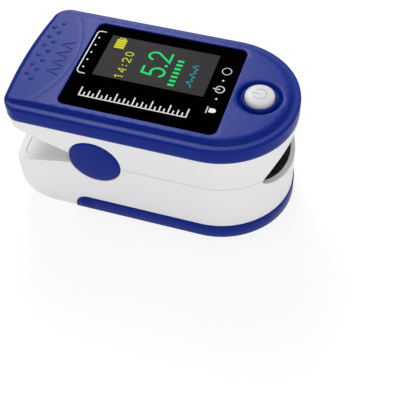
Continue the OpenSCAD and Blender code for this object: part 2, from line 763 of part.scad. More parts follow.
module lower_shell() {
    side_floor = cover_floor + fit + 1.2;
    groove_gap = 0.15;
    column_r = screw_head_d / 2 + 0.3;
    color(pale) difference() {
        intersection() {
            union() {
                tail_slab(band_h + fit, parting_z);
                slab(band_t + 1.5 * fit, cover_floor + fit, band_h + 2 * fit);
                difference() {
                    tail_slab(0, band_h + 2 * fit);
                    ahead_of_tip(1.5 * fit);
                }
            }
            below_slope();
        }
        slab(shell_in, bay_z - eps, far);
        // battery bay, open underneath in front of the fixed heel
        translate([bay_x0, -bay_y, cover_floor + fit])
            cube([bay_x1 - bay_x0, 2 * bay_y, bay_z]);
        // side cavities, round the screw columns
        difference() {
            slab(band_t + 1.5 * fit + 1.2, side_floor, bay_z);
            translate([-far, -bay_y - 1, 0]) cube([2 * far, 2 * bay_y + 2, far]);
            both_sides() {
                translate([lower_screw_rear[0], lower_screw_rear[1], 0]) cylinder(r = column_r, h = far);
                translate([lower_screw_front[0], lower_screw_front[1], 0]) cylinder(r = column_r, h = far);
            }
        }
        both_sides() {
            pin_shape(cap_d / 2 + cap_gap, wall_y - eps, body_w);
            // groove for the cover's rail, open towards the front
            translate([rail_x0 - groove_gap, body_w / 2 - band_t - 6 * fit, rail_z - groove_gap])
                cube([far, 2, rail_h + 2 * groove_gap]);
            translate([lower_screw_rear[0], lower_screw_rear[1], 0])
                cylinder(r = screw_head_d / 2 + fit, h = lower_head_z);
            translate([lower_screw_rear[0], lower_screw_rear[1], 0]) cylinder(r = screw_r + fit, h = far);
            translate([lower_screw_front[0], lower_screw_front[1], 0])
                cylinder(r = screw_head_d / 2 + fit, h = lower_head_z);
            translate([lower_screw_front[0], lower_screw_front[1], 0]) cylinder(r = screw_r + fit, h = far);
        }
        trough(channel_w / 2 - 0.75 * lip_h, trough_h - lip_h, stop_x, far);
        intersection() {
            trough(channel_w / 2, trough_h, stop_x, far);
            slab(shell_inset + lip_run, trough_z - 1, far);
        }
        scoop_bevel();
    }
}

module lower_frame() {
    top_gap = 0.1;
    pocket_floor = bay_z + 1.2;
    color(frame_grey) difference() {
        union() {
            difference() {
                intersection() {
                    slab(shell_in + fit, bay_z, parting_z);
                    below_slope(top_gap);
                }
                both_sides() translate([pivot_x - pocket_r, pin_in_y - 0.4, pocket_floor])
                    cube([2 * pocket_r, wall_y - pin_in_y + 0.4, far]);
            }
            both_sides() {
                translate([pivot_x - ear_r, lower_ear_y, pocket_floor - 0.5])
                    cube([2 * ear_r, ear_t, pivot_z - pocket_floor + 0.5]);
                pin_shape(ear_r, lower_ear_y, lower_ear_y + ear_t);
            }
        }
        both_sides() {
            pin_shape(pin_d / 2, 0, far);
            translate([lower_screw_rear[0], lower_screw_rear[1], bay_z - 1])
                cylinder(r = screw_r, h = lower_screw_len - 2);
            translate([lower_screw_front[0], lower_screw_front[1], bay_z - 1])
                cylinder(r = screw_r, h = lower_screw_len - 2);
        }
        trough(channel_w / 2, trough_h, stop_x, far);
        // seat of the emitter and its board
        translate([sensor_x - emitter_len / 2 - fit, -emitter_w / 2 - 2 * fit, bay_z - 1])
            cube([emitter_len + 2 * fit, emitter_w + 4 * fit, trough_floor + 1 - 0.25]);
        translate([sensor_x - led_len / 2 - fit, -led_w / 2 - fit, bay_z - 1])
            cube([led_len + 2 * fit, led_w + 2 * fit, trough_floor + 3]);
        // way for the leads
        translate([pivot_x - 1.2, -0.9, bay_z - 1]) cube([2.8, 4.4, far]);
    }
}

module lower_finger_pad() {
    color(pad_black) difference() {
        intersection() {
            trough(channel_w / 2 - fit / 2, trough_h - fit / 2, stop_x + fit, far);
            slab(shell_inset + lip_run + fit, trough_z, parting_z - 0.2);
        }
        trough(channel_w / 2 - fit / 2 - pad_t, trough_h - fit / 2 - pad_t, stop_x + fit + pad_t, far);
        translate([sensor_x - led_len / 2 - 3 * fit, -led_w / 2 - 3 * fit, trough_z - 1])
            cube([led_len + 6 * fit, led_w + 6 * fit, pad_t + 3]);
    }
}

module emitter_board() {
    color([0.05, 0.35, 0.18]) translate([sensor_x - emitter_len / 2, -emitter_w / 2, bay_z - 2 * fit])
        cube([emitter_len, emitter_w, trough_floor - 3 * fit]);
}

module emitter_led() {
    z0 = trough_z - 3 * fit;
    color([0.9, 0.9, 0.95]) translate([sensor_x - led_len / 2, -led_w / 2, z0])
        cube([led_len, led_w, trough_z + pad_t - z0]);
}

module lower_screws() {
    color(steel) both_sides() {
        screw(lower_screw_rear, lower_head_z, lower_screw_len);
        screw(lower_screw_front, lower_head_z, lower_screw_len);
    }
}

// One cell with its nub towards +X when "front" is true
module cell(y, front) {
    x0 = bay_x0 + contact_room;
    body = cell_len - nub_h;
    translate([x0 + cell_len / 2, y, cell_z]) rotate([0, front ? 90 : -90, 0])
        translate([0, 0, -cell_len / 2]) rotate_extrude($fn = 64) polygon([
            [0, 0.15], [cell_d * 0.28, 0.15], [cell_d * 0.32, 0], [cell_d / 2 - 0.4, 0], [cell_d / 2, 0.4],
            [cell_d / 2, body - 0.4], [cell_d / 2 - 0.4, body], [nub_d / 2, body],
            [nub_d / 2, cell_len - 0.2], [nub_d / 2 - 0.2, cell_len], [0, cell_len]]);
}

module battery_left() {
    color([0.45, 0.47, 0.5]) cell(cell_y, true);
}

module battery_right() {
    color([0.45, 0.47, 0.5]) cell(-cell_y, false);
}

// Flat sheet against a bay end with a pressed-out button that meets a cell's nub
module plus_contact(y, x_wall, dir) {
    w = cell_d * 0.75;
    translate([dir > 0 ? x_wall : x_wall - contact_t, y - w / 2, cell_z - w / 2]) cube([contact_t, w, w]);
    x0 = dir > 0 ? x_wall : x_wall - contact_room;
    along_x(nub_d / 2, x0, x0 + contact_room, y, cell_z);
}

// Sheet with a tapering coil that presses on a cell's flat end
module minus_contact(y, x_wall, dir) {
    w = cell_d * 0.75;
    turns = 3;
    wire_r = 0.25;
    rise = contact_room - contact_t - 1.2 * wire_r;
    translate([dir > 0 ? x_wall : x_wall - contact_t, y - w / 2, cell_z - w / 2]) cube([contact_t, w, w]);
    wire([for (i = [0:14 * turns]) let (a = 360 * i / 14, k = i / (14 * turns), r = 3.3 - 1.5 * k)
            [x_wall + dir * (contact_t + wire_r * 0.2 + rise * k), y + r * cos(a), cell_z + r * sin(a)]],
        wire_r, [1, 0, 0], 5);
}

module battery_bridge_contact() {
    color(steel) {
        minus_contact(cell_y, bay_x0, 1);
        plus_contact(-cell_y, bay_x0, 1);
        translate([bay_x0, -cell_y, cell_z - 2]) cube([contact_t, 2 * cell_y, 4]);
    }
}

module battery_positive_contact() {
    color(steel) plus_contact(cell_y, bay_x1, -1);
}

module battery_negative_contact() {
    color(steel) minus_contact(-cell_y, bay_x1, -1);
}

module hinge_pin() {
    head = 0.25;
    translate([pivot_x, pin_in_y, pivot_z]) rotate([-90, 0, 0]) rotate_extrude($fn = 64) polygon([
        [0, 0], [pin_d / 2 - head, 0], [pin_d / 2, head], [pin_d / 2, pin_end_y - pin_in_y - head],
        [pin_d / 2 - head, pin_end_y - pin_in_y], [0, pin_end_y - pin_in_y]]);
}

module hinge_cap() {
    edge = 0.4;
    socket = pin_end_y - (body_w / 2 - cap_t) + fit / 2;
    translate([pivot_x, body_w / 2 - cap_t, pivot_z]) rotate([-90, 0, 0]) rotate_extrude($fn = 128) polygon([
        [0, socket], [pin_d / 2 + fit / 5, socket], [pin_d / 2 + fit / 5, 0], [cap_d / 2, 0],
        [cap_d / 2, cap_t - edge], [cap_d / 2 - edge * 0.3, cap_t - edge * 0.3],
        [cap_d / 2 - edge, cap_t - 0.06], [0, cap_t]]);
}

module hinge_pin_left() {
    color(steel) hinge_pin();
}

module hinge_pin_right() {
    color(steel) mirror([0, 1, 0]) hinge_pin();
}

module hinge_cap_left() {
    color(blue) hinge_cap();
}

module hinge_cap_right() {
    color(blue) mirror([0, 1, 0]) hinge_cap();
}

// Coil about the pin; one leg bears on each jaw behind the axis.
module torsion_spring() {
    steps = 14;
    pitch = spring_wire * 1.12;
    leg = pocket_r - 1;
    y0 = upper_ear_y - 0.3 - spring_wire / 2 - pitch * spring_turns;
    low = [for (k = [1, 0.5]) [-leg * k, 0, -coil_r - 0.5 * k]];
    coil = [for (i = [0:steps * spring_turns + steps / 2]) let (a = -90 + 360 * i / steps)
        [coil_r * cos(a), min(pitch * i / steps, pitch * spring_turns), coil_r * sin(a)]];
    high = [for (k = [0.5, 1]) [-leg * k, pitch * spring_turns, coil_r + 1 * k]];
    translate([pivot_x, y0, pivot_z]) wire(concat(low, coil, high), spring_wire / 2, [0, 1, 0]);
}

module torsion_spring_left() {
    color(steel) torsion_spring();
}

module torsion_spring_right() {
    color(steel) mirror([0, 1, 0]) torsion_spring();
}

// ---- battery cover: a tray whose band shows round the lower jaw ----
module battery_cover() {
    groove_w = 0.8;
    color(blue) {
        intersection() {
            difference() {
                slab(0, 0, band_h);
                slab(band_t + fit / 2, cover_floor, far);
                for (i = [0:5]) translate([button_x - 14 + 2 * groove_w * i, -6, -1])
                    cube([groove_w, 12, 1.4]);
            }
            ahead_of_tip();
        }
        both_sides() translate([rail_x0, body_w / 2 - band_t - 4.5 * fit, rail_z])
            cube([rail_x1 - rail_x0, 4.5 * fit + band_t / 2, rail_h]);
    }
}

top_cover();
display_lens();
display_module();
display_bracket();
main_board();
controller_chip();
tact_switch();
photodiode();
upper_shell();
upper_finger_pad();
upper_screws();
upper_leads();
power_button();
switch_plunger();
lower_shell();
lower_frame();
lower_finger_pad();
emitter_board();
emitter_led();
lower_screws();
lower_leads();
battery_left();
battery_right();
battery_bridge_contact();
battery_positive_contact();
battery_negative_contact();
hinge_pin_left();
hinge_pin_right();
hinge_cap_left();
hinge_cap_right();
torsion_spring_left();
torsion_spring_right();
battery_cover();
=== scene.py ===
"""Clip-on fingertip meter: two sprung jaws, a window with a small screen, one round button.

Lengths are in millimetres up to new_object(), which turns them into metres. x runs from the hinge
end to the finger opening, y across and z upwards. What the CAD also has is read from the frame.
"""
import json
import math
import bpy
import bmesh
from mathutils import Matrix, Vector
from mathutils.geometry import delaunay_2d_cdt


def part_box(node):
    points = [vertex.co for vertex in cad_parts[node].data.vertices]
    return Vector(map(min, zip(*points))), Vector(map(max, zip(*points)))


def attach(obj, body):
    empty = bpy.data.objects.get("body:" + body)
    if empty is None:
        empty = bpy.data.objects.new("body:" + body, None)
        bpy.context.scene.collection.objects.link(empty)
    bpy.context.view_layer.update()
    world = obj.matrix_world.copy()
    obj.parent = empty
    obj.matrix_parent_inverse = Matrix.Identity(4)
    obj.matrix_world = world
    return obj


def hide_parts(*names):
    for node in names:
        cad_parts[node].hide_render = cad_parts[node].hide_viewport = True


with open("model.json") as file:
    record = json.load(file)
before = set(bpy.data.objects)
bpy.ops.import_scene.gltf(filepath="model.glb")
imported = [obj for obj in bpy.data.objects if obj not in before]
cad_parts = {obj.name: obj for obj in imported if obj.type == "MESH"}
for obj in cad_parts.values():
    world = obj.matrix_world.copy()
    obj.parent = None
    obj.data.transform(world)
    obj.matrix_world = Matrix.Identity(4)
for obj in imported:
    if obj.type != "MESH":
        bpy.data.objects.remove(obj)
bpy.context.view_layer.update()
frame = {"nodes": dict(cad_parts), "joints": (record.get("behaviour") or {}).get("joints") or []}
MM = 0.001


# ---- sizes read from the frame ----
def span(node, axis):
    """Where a CAD node starts and ends along an axis letter."""
    k = "xyz".index(axis)
    low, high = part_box(node)
    return round(low[k] / MM, 3), round(high[k] / MM, 3)


REAR_X, FRONT_X = span("top_cover", "x")
LEN = FRONT_X - REAR_X
HALF_W = span("top_cover", "y")[1]
COVER_Z, TOP_Z = span("top_cover", "z")
PARTING = span("lower_shell", "z")[1]                # height at which the jaws meet
WIN_X0, WIN_X1 = span("display_lens", "x")
WIN_Y = span("display_lens", "y")[1]
PLATE_Z = span("display_lens", "z")[1]
BUTTON_X = round(sum(span("switch_plunger", "x")) / 2, 3)
BUTTON_TOP = span("power_button", "z")[1]
BOARD_Z = span("main_board", "z")[0]
SENSOR_X, SENSOR_Y = span("photodiode", "x"), span("photodiode", "y")[1]
BAY_X0, BAY_X1 = span("battery_bridge_contact", "x")[0], span("battery_positive_contact", "x")[1]
CELL_Y = span("battery_left", "y")[1]
BAND_X, BAND_H = span("battery_cover", "x")[0], span("battery_cover", "z")[1]
CAP_R = round((span("hinge_cap_left", "x")[1] - span("hinge_cap_left", "x")[0]) / 2, 3)
CAP_Y = span("hinge_cap_left", "y")[0]
hinge = next(joint for joint in frame["joints"] if joint["name"] == "jaw_hinge")
PIVOT_X, PIVOT_Z = (round(hinge["pos_m"][k] / MM, 3) for k in (0, 2))

# ---- sizes that the frame doesn't show, most of them the same as in the part's source ----
# outline seen from above: radii of nose, flanks, rear corners and of the bow of the rear edge
NOSE_R, FLANK_R, CORNER_R, BOW_R = 16.0, 17.3, 3.8, 95.0
TAIL_R, LEAST_CORNER_R = 2.4, 1.3                    # lower shell's rear corners; least after an inset
NOSE_X = FRONT_X - NOSE_R
FLANK_OFF = FLANK_R - HALF_W
FLANK_X = NOSE_X - math.sqrt((FLANK_R - NOSE_R) ** 2 - FLANK_OFF ** 2)
NOSE_A = math.degrees(math.atan2(FLANK_OFF, NOSE_X - FLANK_X))
RISER_H = 0.95
LEDGE_Z = TOP_Z - RISER_H
SHELL_INSET, WALL, FIT = 0.3, 1.4, 0.1
SHELL_IN = SHELL_INSET + WALL                        # inner face of the white shells
WALL_Y = HALF_W - SHELL_IN
# finger channel: half width, length and height over the parting, then the trough and its lip
CHANNEL_Y, CHANNEL_LEN, ARCH_H = 10.8, 33.6, 6.2
TROUGH_H, LIP_H, LIP_RUN = 3.6, 0.7, 1.0
ARCH_R = (CHANNEL_Y ** 2 + ARCH_H ** 2) / (2 * ARCH_H)
ARCH_Z = PARTING + ARCH_H - ARCH_R
STOP_X = FRONT_X - CHANNEL_LEN
WIN_R = 1.5
# battery tray: thickness of its band and floor, radius of the band's tip, gap to the lower shell
BAND_T, TIP_R, TRAY_GAP = 1.2, 3.2, 0.15
# slopes behind the hinge: degrees, radius of the upper one's bow, and how far under the axis they start
SLOPE_UP, SLOPE_LOW, SLOPE_BOW = 14, 13, 100.0
APEX_UP, APEX_LOW, PARTING_GAP = 0.2, 0.4, 0.15
# hinge: inner end of a pin, the upper jaw's ears and the pockets that the ears swing in
PIN_IN_Y, EAR_T, EAR_GAP, EAR_R = 6.9, 1.4, 0.3, 3.2
EAR_Y = WALL_Y - FIT - EAR_T - EAR_GAP - EAR_T
POCKET_R = EAR_R * 2.05
SCREW_HEAD_R, SCREW_HEAD_T = 1.5, 1.0
FAR, FAR_Y, FAR_Z = 60, 40, 40                       # cuts end this far out, well past the body
BAY_CUT_Z, OVER_JAW = 20, 30                         # heights over the tray's cuts and the lower jaw


# ---- outlines ----
def sin(a):
    return math.sin(math.radians(a))


def cos(a):
    return math.cos(math.radians(a))


def tan(a):
    return math.tan(math.radians(a))


def arc(cx, cy, r, a0, a1, steps, skip_first=False):
    """Points on an arc, in degrees."""
    turns = [a0 + (a1 - a0) * i / steps for i in range(1 if skip_first else 0, steps + 1)]
    return [(cx + r * cos(a), cy + r * sin(a)) for a in turns]


def circle(cx, cy, r, sides):
    return arc(cx, cy, r, 0, 360, sides)[:-1]


def rectangle(x0, x1, y0, y1):
    return [(x0, y0), (x1, y0), (x1, y1), (x0, y1)]


def rounded_rect(x0, x1, y0, y1, r, steps=8):
    corners = ((x1 - r, y1 - r), (x0 + r, y1 - r), (x0 + r, y0 + r), (x1 - r, y0 + r))
    pts = []
    for k, (cx, cy) in enumerate(corners):
        pts += arc(cx, cy, r, 90 * k, 90 * k + 90, steps)
    return pts


def dee(inset=0.0, back=0.0, corner=CORNER_R):
    """Outline of the body seen from above; every call gives the same number of points."""
    half_w = HALF_W - inset
    rear = REAR_X + inset + back
    corner_r = max(corner - inset, LEAST_CORNER_R)
    half_bow = half_w - corner_r
    corner_x = rear + half_bow ** 2 / (2 * BOW_R) + corner_r
    flank_r, nose_r = FLANK_R - inset, NOSE_R - inset
    side_steps, rear_steps = 14, 12
    pts = arc(NOSE_X, 0, nose_r, -NOSE_A, NOSE_A, 36)
    pts += arc(FLANK_X, -FLANK_OFF, flank_r, NOSE_A, 90, 24, True)
    pts += [(FLANK_X + (corner_x - FLANK_X) * i / side_steps, half_w) for i in range(1, side_steps)]
    pts += arc(corner_x, half_bow, corner_r, 90, 180, 10)
    for i in range(1, rear_steps):
        y = half_bow * (1 - 2 * i / rear_steps)
        pts.append((rear + y * y / (2 * BOW_R), y))
    pts += arc(corner_x, -half_bow, corner_r, 180, 270, 10)
    pts += [(corner_x + (FLANK_X - corner_x) * i / side_steps, -half_w) for i in range(1, side_steps)]
    pts += arc(FLANK_X, FLANK_OFF, flank_r, 270, 360 - NOSE_A, 24)[:-1]
    return pts


def front_x(y, inset):
    """x of the rounded front at y."""
    if abs(y) < (NOSE_R - inset) * sin(NOSE_A):
        return NOSE_X + math.sqrt((NOSE_R - inset) ** 2 - y * y)
    return FLANK_X + math.sqrt((FLANK_R - inset) ** 2 - (abs(y) + FLANK_OFF) ** 2)


def inside(p, loop):
    """Even-odd test of a point against a loop."""
    hit = False
    for (ax, ay), (bx, by) in zip(loop, loop[1:] + loop[:1]):
        if (ay > p[1]) != (by > p[1]) and p[0] < ax + (bx - ax) * (p[1] - ay) / (by - ay):
            hit = not hit
    return hit


def nearest(p, points):
    """Distance from a point to the nearest of several."""
    return min(math.dist(p, q) for q in points)


def dense(loop, pitch=0.1):
    """The loop with points at every pitch along its sides."""
    pts = []
    for a, b in zip(loop, loop[1:] + loop[:1]):
        n = max(1, int(math.dist(a, b) / pitch))
        pts += [(a[0] + (b[0] - a[0]) * i / n, a[1] + (b[1] - a[1]) * i / n) for i in range(n)]
    return pts


# ---- mesh helpers ----
def shade(obj, degrees):
    """Smooth shading in which edges sharper than "degrees" stay sharp."""
    obj.data.shade_smooth()
    obj.data.set_sharp_from_angle(angle=math.radians(degrees))


def new_object(name, bm, smooth=32.0):
    """Object from a bmesh in millimetres."""
    bmesh.ops.scale(bm, vec=(MM, MM, MM), verts=bm.verts)
    me = bpy.data.meshes.new(name)
    bm.to_mesh(me)
    bm.free()
    obj = bpy.data.objects.new(name, me)
    bpy.context.scene.collection.objects.link(obj)
    shade(obj, smooth)
    return obj


def skin(bm, rings, closed=True):
    """Faces between rings of equal length; gives the rows of verts."""
    rows = [[bm.verts.new(p) for p in ring] for ring in rings]
    for low, high in zip(rows, rows[1:]):
        n = len(low)
        for i in range(n if closed else n - 1):
            j = (i + 1) % n
            bm.faces.new([low[i], low[j], high[j], high[i]])
    return rows


def block(name, rings, smooth=32.0):
    """Closed solid through rings, with flat ends."""
    bm = bmesh.new()
    rows = skin(bm, rings)
    bm.faces.new(list(reversed(rows[0])))
    bm.faces.new(rows[-1])
    bmesh.ops.recalc_face_normals(bm, faces=bm.faces)
    return new_object(name, bm, smooth)


def prism_z(name, outline, z0, z1):
    return block(name, [[(x, y, z) for x, y in outline] for z in (z0, z1)])


def prism_y(name, profile, y0=-FAR_Y, y1=FAR_Y):
    """Profile in x and z, pushed through along y."""
    return block(name, [[(x, y, z) for x, z in profile] for y in (y0, y1)])


def rod(name, centre, r, length, axis, sides):
    """Round bar from centre along an axis letter."""
    x, y, z = centre
    ring = circle(0, 0, r, sides)
    if axis == "x":
        return block(name, [[(x + w, y + u, z + v) for u, v in ring] for w in (0, length)])
    if axis == "y":
        return block(name, [[(x + u, y + w, z + v) for u, v in ring] for w in (0, length)])
    return block(name, [[(x + u, y + v, z + w) for u, v in ring] for w in (0, length)])


def turned(name, centre, profile, axis="z", sides=96, sign=1):
    """Solid of revolution; the profile holds (radius, height) pairs."""
    least_r = 0.002
    rings = []
    for r, h in profile:
        ring = []
        for u, v in circle(0, 0, max(r, least_r), sides):
            p = (u, v, h) if axis == "z" else (u, sign * h, v)
            ring.append(tuple(c + d for c, d in zip(centre, p)))
        rings.append(ring)
    bm = bmesh.new()
    rows = skin(bm, rings)
    bm.faces.new(rows[0])
    bm.faces.new(rows[-1])
    bmesh.ops.recalc_face_normals(bm, faces=bm.faces)
    return new_object(name, bm, 40.0)


def carve(obj, cutter, operation="DIFFERENCE"):
    """Boolean with a cutter that is used up."""
    mod = obj.modifiers.new("cut", "BOOLEAN")
    mod.operation, mod.solver, mod.object = operation, "EXACT", cutter
    me = bpy.data.meshes.new_from_object(obj.evaluated_get(bpy.context.evaluated_depsgraph_get()))
    obj.modifiers.clear()
    old = obj.data
    obj.data = me
    bpy.data.meshes.remove(old)
    bpy.data.objects.remove(cutter)


def soften(obj, width, pick, least_angle=28.0):
    """Rounds the sharp edges whose middle, in millimetres, "pick" accepts."""
    same_place = 2e-6
    bm = bmesh.new()
    bm.from_mesh(obj.data)
    bmesh.ops.remove_doubles(bm, verts=bm.verts, dist=same_place)
    bmesh.ops.dissolve_degenerate(bm, edges=bm.edges, dist=same_place)
    edges = []
    for e in bm.edges:
        if len(e.link_faces) == 2 and math.degrees(e.calc_face_angle(0)) > least_angle:
            if pick((e.verts[0].co + e.verts[1].co) / 2 / MM):
                edges.append(e)
    bmesh.ops.bevel(bm, geom=edges, offset=width * MM, segments=3, profile=0.5, affect="EDGES",
                    clamp_overlap=True)
    bm.to_mesh(obj.data)
    bm.free()
    shade(obj, 40.0)


# ---- materials ----
def srgb(*c):
    """Linear colour from display values of 0 to 255."""
    return [((v / 255 + 0.055) / 1.055) ** 2.4 if v > 10 else v / 255 / 12.92 for v in c] + [1.0]


def noise(tree, coord, scale, detail):
    node = tree.nodes.new("ShaderNodeTexNoise")
    node.inputs["Scale"].default_value = scale
    node.inputs["Detail"].default_value = detail
    tree.links.new(coord.outputs["Object"], node.inputs["Vector"])
    return node.outputs["Fac"]


def material(name, colour, rough, spec, metal=0.0, grain=0.0, scale=900.0, tint=0.04):
    """Procedural finish: faint colour drift, uneven roughness, fine bump."""
    drift_scale, rough_vary, bump_height = 60.0, 0.05, 0.00005
    mat = bpy.data.materials.new(name)
    mat.use_nodes = True
    tree = mat.node_tree
    nodes, links = tree.nodes, tree.links
    bsdf = nodes["Principled BSDF"]
    bsdf.inputs["Metallic"].default_value = metal
    bsdf.inputs["Specular IOR Level"].default_value = spec
    coord = nodes.new("ShaderNodeTexCoord")
    ramp = nodes.new("ShaderNodeMix")
    ramp.data_type = "RGBA"
    ramp.inputs["A"].default_value = [v * (1 - tint) for v in colour[:3]] + [1.0]
    ramp.inputs["B"].default_value = [min(v * (1 + tint), 1.0) for v in colour[:3]] + [1.0]
    links.new(noise(tree, coord, drift_scale, 3.0), ramp.inputs["Factor"])
    links.new(ramp.outputs["Result"], bsdf.inputs["Base Color"])
    fine = noise(tree, coord, scale, 2.0)
    uneven = nodes.new("ShaderNodeMapRange")
    uneven.inputs["To Min"].default_value = max(rough - rough_vary, 0.02)
    uneven.inputs["To Max"].default_value = rough + rough_vary
    links.new(fine, uneven.inputs["Value"])
    links.new(uneven.outputs["Result"], bsdf.inputs["Roughness"])
    if grain > 0:
        bump = nodes.new("ShaderNodeBump")
        bump.inputs["Strength"].default_value = grain
        bump.inputs["Distance"].default_value = bump_height
        links.new(fine, bump.inputs["Height"])
        links.new(bump.outputs["Normal"], bsdf.inputs["Normal"])
    return mat


# name, colour, roughness, specular level, and what else the finish needs
MATERIALS = {
    "blue": material("blue_plastic", [0.001, 0.015, 0.2], 0.32, 0.088, grain=0.1, scale=1600),
    "white": material("white_plastic", srgb(228, 228, 229), 0.4, 0.25, grain=0.08, scale=1500,
                      tint=0.008),
    # painted shade: a darker blue without gloss for the strip along the cover's rear edge
    "blue_painted_shade": material("blue_painted_shade", [0.012, 0.028, 0.18], 0.6, 0.0, grain=0.1, scale=1600),
    # painted shade: a darker white for the lower shell's upward rim faces behind the hinge
    "rim": material("white_rim_painted_shade", srgb(218, 218, 218), 0.55, 0.15, grain=0.1, scale=1500, tint=0.008),
    # painted shade: a darker white for the inner frame, whose plate looks up into the lamp
    "frame": material("frame_plastic_painted_shade", srgb(217, 217, 218), 0.5, 0.25, grain=0.12, scale=1500,
                      tint=0.01),
    "lip": material("lip_grey", srgb(196, 196, 196), 0.5, 0.2, grain=0.1, tint=0.02),
    "window": material("window_black", [0.0004, 0.0004, 0.0005], 0.14, 0.0, tint=0.02),
    "screen": material("screen_grey", [0.0145, 0.0145, 0.015], 0.3, 0.02, tint=0.01),
    "ink": material("white_ink", [0.7, 0.7, 0.7], 0.5, 0.1, tint=0.01),
    "yellow": material("lit_yellow", [0.56, 0.56, 0.0], 0.5, 0.05, tint=0.01),
    "green": material("lit_green", [0.0, 0.6, 0.13], 0.5, 0.05, tint=0.01),
    "teal": material("lit_teal", [0.0, 0.25, 0.29], 0.5, 0.05, tint=0.01),
    "button": material("button_white", [0.575, 0.575, 0.572], 0.34, 0.2, grain=0.08, scale=1800,
                       tint=0.006),
    "mark": material("button_mark", [0.47, 0.47, 0.47], 0.45, 0.2, tint=0.01),
    "silicone": material("silicone", srgb(11, 11, 12), 0.42, 0.22, grain=0.35, scale=1400, tint=0.1),
    "board": material("board_green", srgb(24, 92, 52), 0.4, 0.5, grain=0.2, scale=500, tint=0.15),
    "chip": material("chip_black", srgb(26, 26, 27), 0.55, 0.4, grain=0.3, tint=0.08),
    "sensor": material("sensor_dark", srgb(30, 30, 40), 0.12, 0.6, tint=0.05),
    "led": material("clear_resin", srgb(225, 225, 232), 0.1, 0.6, tint=0.02),
    "red": material("red_rubber", srgb(170, 30, 28), 0.45, 0.4, grain=0.15, tint=0.06),
    "steel": material("steel", srgb(190, 190, 194), 0.28, 0.5, metal=1.0, grain=0.15, scale=2200,
                      tint=0.03),
    "can": material("cell_can", srgb(120, 124, 132), 0.3, 0.5, metal=0.85, grain=0.1, tint=0.05),
}


def rib(mat, pitch, depth):
    """Fine ribs that follow the hollow of the pads: rings round an axis high over the parting."""
    axis_z = PARTING + 12.0
    ring_step = 0.314                                # between two rings of a wave of scale 1
    nodes, links = mat.node_tree.nodes, mat.node_tree.links
    grain = next(n for n in nodes if n.type == "BUMP")
    coord = nodes.new("ShaderNodeTexCoord")
    move = nodes.new("ShaderNodeMapping")
    move.inputs["Location"].default_value = (0.0, 0.0, -axis_z * MM)
    wave = nodes.new("ShaderNodeTexWave")
    wave.wave_type, wave.rings_direction, wave.wave_profile = "RINGS", "X", "SIN"
    wave.inputs["Scale"].default_value = ring_step / (pitch * MM)
    bump = nodes.new("ShaderNodeBump")
    bump.inputs["Strength"].default_value = 1.0
    bump.inputs["Distance"].default_value = depth * MM
    links.new(coord.outputs["Object"], move.inputs["Vector"])
    links.new(move.outputs["Vector"], wave.inputs["Vector"])
    links.new(wave.outputs["Fac"], bump.inputs["Height"])
    links.new(grain.outputs["Normal"], bump.inputs["Normal"])
    links.new(bump.outputs["Normal"], nodes["Principled BSDF"].inputs["Normal"])


rib(MATERIALS["silicone"], 0.55, 0.12)


def finish_piece(obj, mat, body, slot, *nodes):
    """Gives a piece its material and its body, and hides the CAD nodes that it stands for; slot is not
    used.
    """
    obj.data.materials.clear()
    obj.data.materials.append(MATERIALS[mat])
    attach(obj, body)
    if nodes:
        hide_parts(*nodes)
    return obj


# ---- top cover ----
# thumb rest: radius of its rim, its reach from the rear, and the ball that hollows it
DISH_R, DISH_REACH, DISH_BALL = 24.5, 11.8, 300.0
DISH_X = REAR_X + DISH_REACH - DISH_R
CREASE_DEPTH, CREASE_IN, CREASE_W = 0.055, 0.25, 0.42    # groove along the rim
REAR_RUN, REAR_FALL = 0.6, 0.2                       # rounding of the rear edge
REAR_SHARE = 0.68                                    # part of an inset that the rear shoulder takes
STRIP_W, STRIP_MARGIN, STRIP_DEPTH = 1.2, 1.6, 2.0   # strip along the rear edge painted a darker blue without gloss: painted shade

# side wall, from its inner edge round the foot and up: (height, inset)
SIDE_WALL = (
    (COVER_Z + 2.2, 1.4), (COVER_Z, 1.4), (COVER_Z, 0.14), (COVER_Z + 0.04, 0.04), (COVER_Z + 0.14, 0.0),
    (COVER_Z + 1.2, 0.0), (COVER_Z + 2.4, 0.0))
# fine groove near the top of the side wall, then the shoulder: (depth under the ledge, inset)
SHOULDER = (
    (0.8, 0.0), (0.62, 0.01), (0.5, 0.03), (0.44, 0.08), (0.38, 0.14), (0.31, 0.16), (0.25, 0.14),
    (0.2, 0.1), (0.13, 0.115), (0.07, 0.155), (0.02, 0.22), (0.0, 0.3))
# ledge and hollow riser: (height over the ledge, inset, inset at the rear edge)
RISER = (
    (0.0, 0.6, 0.36), (0.0, 1.0, 0.39), (0.0, 1.35, 0.42), (0.015, 1.58, 0.44), (0.07, 1.74, 0.47),
    (0.17, 1.87, 0.5), (0.33, 1.98, 0.54), (0.53, 2.06, 0.6), (0.71, 2.12, 0.7), (0.83, 2.18, 0.86),
    (0.91, 2.26, 1.05), (RISER_H, 2.38, 1.26))
# pocket of the window plate: (room round the plate, depth)
POCKET = ((0.24, 0.0), (0.16, 0.03), (0.11, 0.1), (0.1, 0.2), (0.1, 1.05), (-1.2, 1.05))
# round recess, the collar inside it and the button's hole: (radius, depth)
MOAT = (
    (5.04, 0.0), (4.92, 0.03), (4.82, 0.1), (4.72, 0.21), (4.6, 0.4), (4.48, 0.6), (4.36, 0.78),
    (4.25, 0.89), (4.14, 0.93), (4.06, 0.86), (4.0, 0.66), (3.94, 0.38), (3.86, 0.12), (3.76, -0.03),
    (3.66, -0.08), (3.56, -0.07), (3.47, 0.0), (3.39, 0.14), (3.34, 0.4), (3.33, 2.0))
# grip bumps: rows of (distance from the rear, first place, number), and the dome as (radius, height)
BUMP_PITCH = 3.05
BUMP_ROWS = ((3.05, -2, 6), (4.7, -2.5, 7))
BUMP_DOME = ((0.64, -0.05), (0.58, 0.012), (0.49, 0.06), (0.36, 0.105), (0.2, 0.135), (0.07, 0.145))
